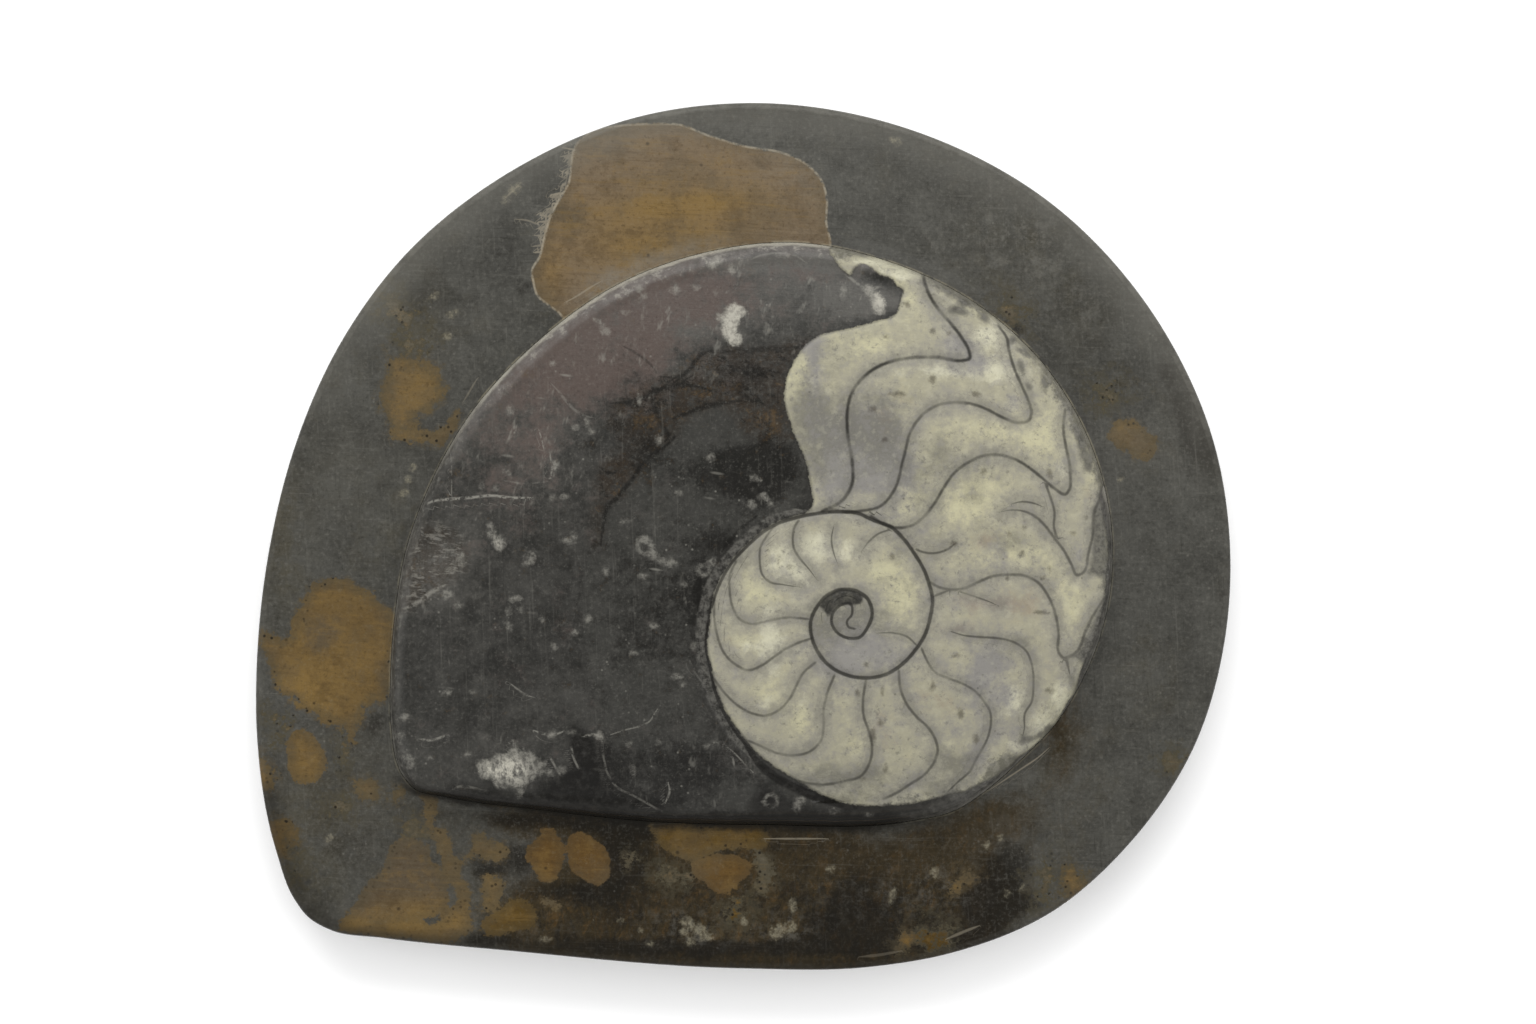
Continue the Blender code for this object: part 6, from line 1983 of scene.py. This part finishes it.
@dataclass
class Fossil(TurnedStone):
    """The domed fossil: steep edge, body chamber, coil of chambers and the groove between its whorls."""

    name: str = "polished_fossil"
    node: str = "fossil"
    slot: str = "fossil_calcite"
    stations: int = 736
    base_rings: int = 2
    wall_rings: int = 9
    dome_rings: int = 120
    puff: float = 0.10
    puff_edge: float = 0.6
    puff_reach: float = 1.1
    groove_depth: float = 0.55
    groove_fall: float = 1.3
    waves: tuple[Waves, ...] = (Waves(14.0, 0.06), Waves(3.0, 0.015, 5.0))
    settle: float = 0.16
    rind_fade: float = 1.5
    chips: Waves = Waves(2.2, 0.16, 9.0)
    chip_depth: float = 0.10

    def sections(self, angles: np.ndarray) -> tuple[np.ndarray, np.ndarray]:
        """Lay out the rings.

        Args:
            angles: Angle of each station.

        Returns:
            Radius and height of each ring (rows) at each angle (columns).
        """
        outside = FOSSIL.radius(angles) - SKIN
        run = edge_run(angles)
        zero = np.zeros_like(angles)
        rise = FOSSIL_EDGE_HEIGHT - RIM_FOOT_HEIGHT
        rows = [(zero, zero + POCKET_FLOOR + SEAM), (outside, zero + POCKET_FLOOR + SEAM)]
        share = np.linspace(0.0, 1.0, self.wall_rings)
        lean = np.interp(share, EDGE_SHARES, EDGE_INWARD)
        lift = np.interp(share, EDGE_SHARES, EDGE_UPWARD)
        for inward, upward in zip(lean, lift):
            rows.append((outside - inward * run, zero + RIM_FOOT_HEIGHT + upward * rise - SKIN))
        for step in np.linspace(1.0, 0.0, self.dome_rings + 1)[1:]:
            rows.append(((outside - run) * step, zero + dome_height(step) - SKIN))
        return np.array([row[0] for row in rows]), np.array([row[1] for row in rows])

    def carve(self, places: np.ndarray, ring: np.ndarray) -> np.ndarray:
        """Cut the whorl groove, swell the chambers a little, and measure all that is drawn.

        Args:
            places: Turned places, one row each.
            ring: Ring of each place.

        Returns:
            The finished places.
        """
        plan = places[:, :2]
        groove_path = smooth_path([(x, y) for x, y, _ in WHORL_GROOVE], closed=False)
        gap, _, place = measure(plan, groove_path)
        knots = np.linspace(0.0, 1.0, len(WHORL_GROOVE))
        half = np.interp(place, knots, [w for _, _, w in WHORL_GROOVE])
        suture, suture_ink, beside = ink(plan, SUTURES)
        seam, seam_ink, seam_gap = ink(plan, (SEAM_LINE,))
        halo = np.minimum(beside, seam_gap)
        coil = COIL_AREA.inside(plan)
        arm = plan - np.array(HUB)
        angle = np.arctan2(arm[:, 1], arm[:, 0])
        reach = np.linalg.norm(arm, axis=1)
        rind = FOSSIL.radius(angle) - SKIN - edge_run(angle) - reach
        wall = np.clip((ring - self.base_rings) / (self.wall_rings - 1), 0.0, 1.0)
        on_top = ring >= self.base_rings + self.wall_rings
        puff = np.clip(coil / self.puff_edge, 0.0, 1.0) * (1.0 - np.exp(-halo / self.puff_reach)) * self.puff
        sink = half * self.groove_depth * np.exp(-(gap / half)**2 * self.groove_fall)
        roll = sum(waves.at(places) for waves in self.waves)
        fade = np.clip(rind / self.rind_fade, 0.0, 1.0)
        places[on_top, 2] += ((puff + roll - self.settle) * fade - sink)[on_top]
        on_wall = (ring > self.base_rings) & ~on_top
        nudge = (self.chips.at(places) - self.chip_depth) * (1 - (2 * wall - 1)**2)
        places[on_wall, :2] += (arm / reach[:, None].clip(1e-6) * nudge[:, None])[on_wall]
        self.fields = {
            "coil": coil, "suture": suture, "suture_ink": suture_ink, "seam": seam, "seam_ink": seam_ink,
            "halo": halo, "rind": rind, "wall": wall, "drop": places[:, 2], "low": low_side(plan),
            "high": high_side(angle), "right": right_side(angle),
            "fill": WHORL_FILL.inside(plan), "lobe": LIGHT_LOBE.inside(plan),
            "pale": np.minimum(deepest(plan, PALE_PATCHES), -deepest(plan, RINGS)),
        }
        patches = {"painted_shadow": SHADE_PATCHES, "brown": BROWN_STONE, "speck": SPECKS, "crust": CRUSTS,
                   "bare": BARE_STONE}
        for key, drawn in patches.items():
            self.fields[key] = deepest(plan, drawn)
        washes = {"lilac": LILAC, "cream": CREAM, "white": WHITE, "tan": TAN, "smoke_and_shade": SMOKE_AND_SHADE,
                  "purple": PURPLE, "paler": PALER, "rust": RUST, "black": BLACK, "solid": SOLID,
                  "shine": SHINE}
        for key, spots in washes.items():
            self.fields[key] = wash(plan, spots)
        strokes = {"scratch": SCRATCHES, "crack": CRACKS, "moat": MOAT, "shell": SHELL_BAND}
        for key, lines in strokes.items():
            self.fields[key], self.fields[f"{key}_ink"], _ = ink(plan, lines)
        return places


# ---------------------------------------------------------------- studio


@dataclass(frozen=True)
class Lamp:
    """A soft rectangular light: where it hangs, its size and its power."""

    name: str
    place: tuple[float, float, float]
    size: tuple[float, float]
    power: float

    def hang(self, target: Vector) -> None:
        """Make the light and aim it at a target.

        Args:
            target: Point to aim at.
        """
        data = bpy.data.lights.new(self.name, "AREA")
        data.shape = "RECTANGLE"
        data.size, data.size_y = self.size
        data.energy = self.power
        lamp = bpy.data.objects.new(self.name, data)
        lamp.location = self.place
        lamp.rotation_euler = (target - Vector(self.place)).to_track_quat("-Z", "Y").to_euler()
        bpy.context.scene.collection.objects.link(lamp)


@dataclass(frozen=True)
class Studio:
    """Pale floor, soft light and a camera straight above the plaque."""

    floor_half: float = 3.0
    view_middle: tuple[float, float] = (0.00356, 0.00345)
    view_plane: float = 0.013
    view_width: float = 0.22066
    lens: float = 240.0
    sensor: float = 36.0
    far_clip: float = 20.0
    aim: tuple[float, float, float] = (0.0, 0.0, 0.01)
    sky: float = 0.85
    lamps: tuple[Lamp, ...] = (
        Lamp("key light", (-0.05, 1.10, 1.05), (1.5, 1.1), 21.5),
        Lamp("left light", (-1.20, -0.10, 0.95), (1.2, 1.2), 5.6),
        Lamp("right light", (1.20, 0.10, 0.95), (1.2, 1.2), 5.6),
        Lamp("front light", (0.10, -1.20, 1.00), (1.4, 1.0), 3.0),
    )

    def floor(self) -> None:
        """Lay the floor just under the plaque."""
        bm = bmesh.new()
        bmesh.ops.create_grid(bm, x_segments=1, y_segments=1, size=self.floor_half)
        mesh = bpy.data.meshes.new("floor")
        bm.to_mesh(mesh)
        bm.free()
        floor = bpy.data.objects.new("floor", mesh)
        bpy.context.scene.collection.objects.link(floor)
        mesh.materials.append(FloorFinish().build())

    def light(self) -> None:
        """Hang the lights and set an even pale sky."""
        for lamp in self.lamps:
            lamp.hang(Vector(self.aim))
        world = bpy.data.worlds.new("pale sky")
        world.use_nodes = True
        backdrop = world.node_tree.nodes["Background"]
        backdrop.inputs["Color"].default_value = (1.0, 1.0, 1.0, 1.0)
        backdrop.inputs["Strength"].default_value = self.sky
        bpy.context.scene.world = world
        bpy.context.scene.view_settings.view_transform = "Standard"

    def camera(self) -> None:
        """Look straight down, with the plaque's round back at the top of the picture."""
        data = bpy.data.cameras.new("camera")
        data.lens = self.lens
        data.sensor_width = self.sensor
        data.clip_end = self.far_clip
        camera = bpy.data.objects.new("camera", data)
        height = self.view_plane + self.view_width * self.lens / self.sensor
        camera.location = (*self.view_middle, height)
        bpy.context.scene.collection.objects.link(camera)
        bpy.context.scene.camera = camera

    def build(self) -> None:
        """Set up the studio."""
        self.camera()
        self.floor()
        self.light()
        log.info("studio: %d lights", len(self.lamps))


def main() -> None:
    """Build the plaque and its studio."""
    logging.basicConfig(level=logging.INFO, format="%(name)s: %(message)s")
    Studio().build()
    StoneSlab().build(LimestoneFinish().build())
    Fossil().build(FossilFinish().build())


if __name__ == "__main__":
    main()
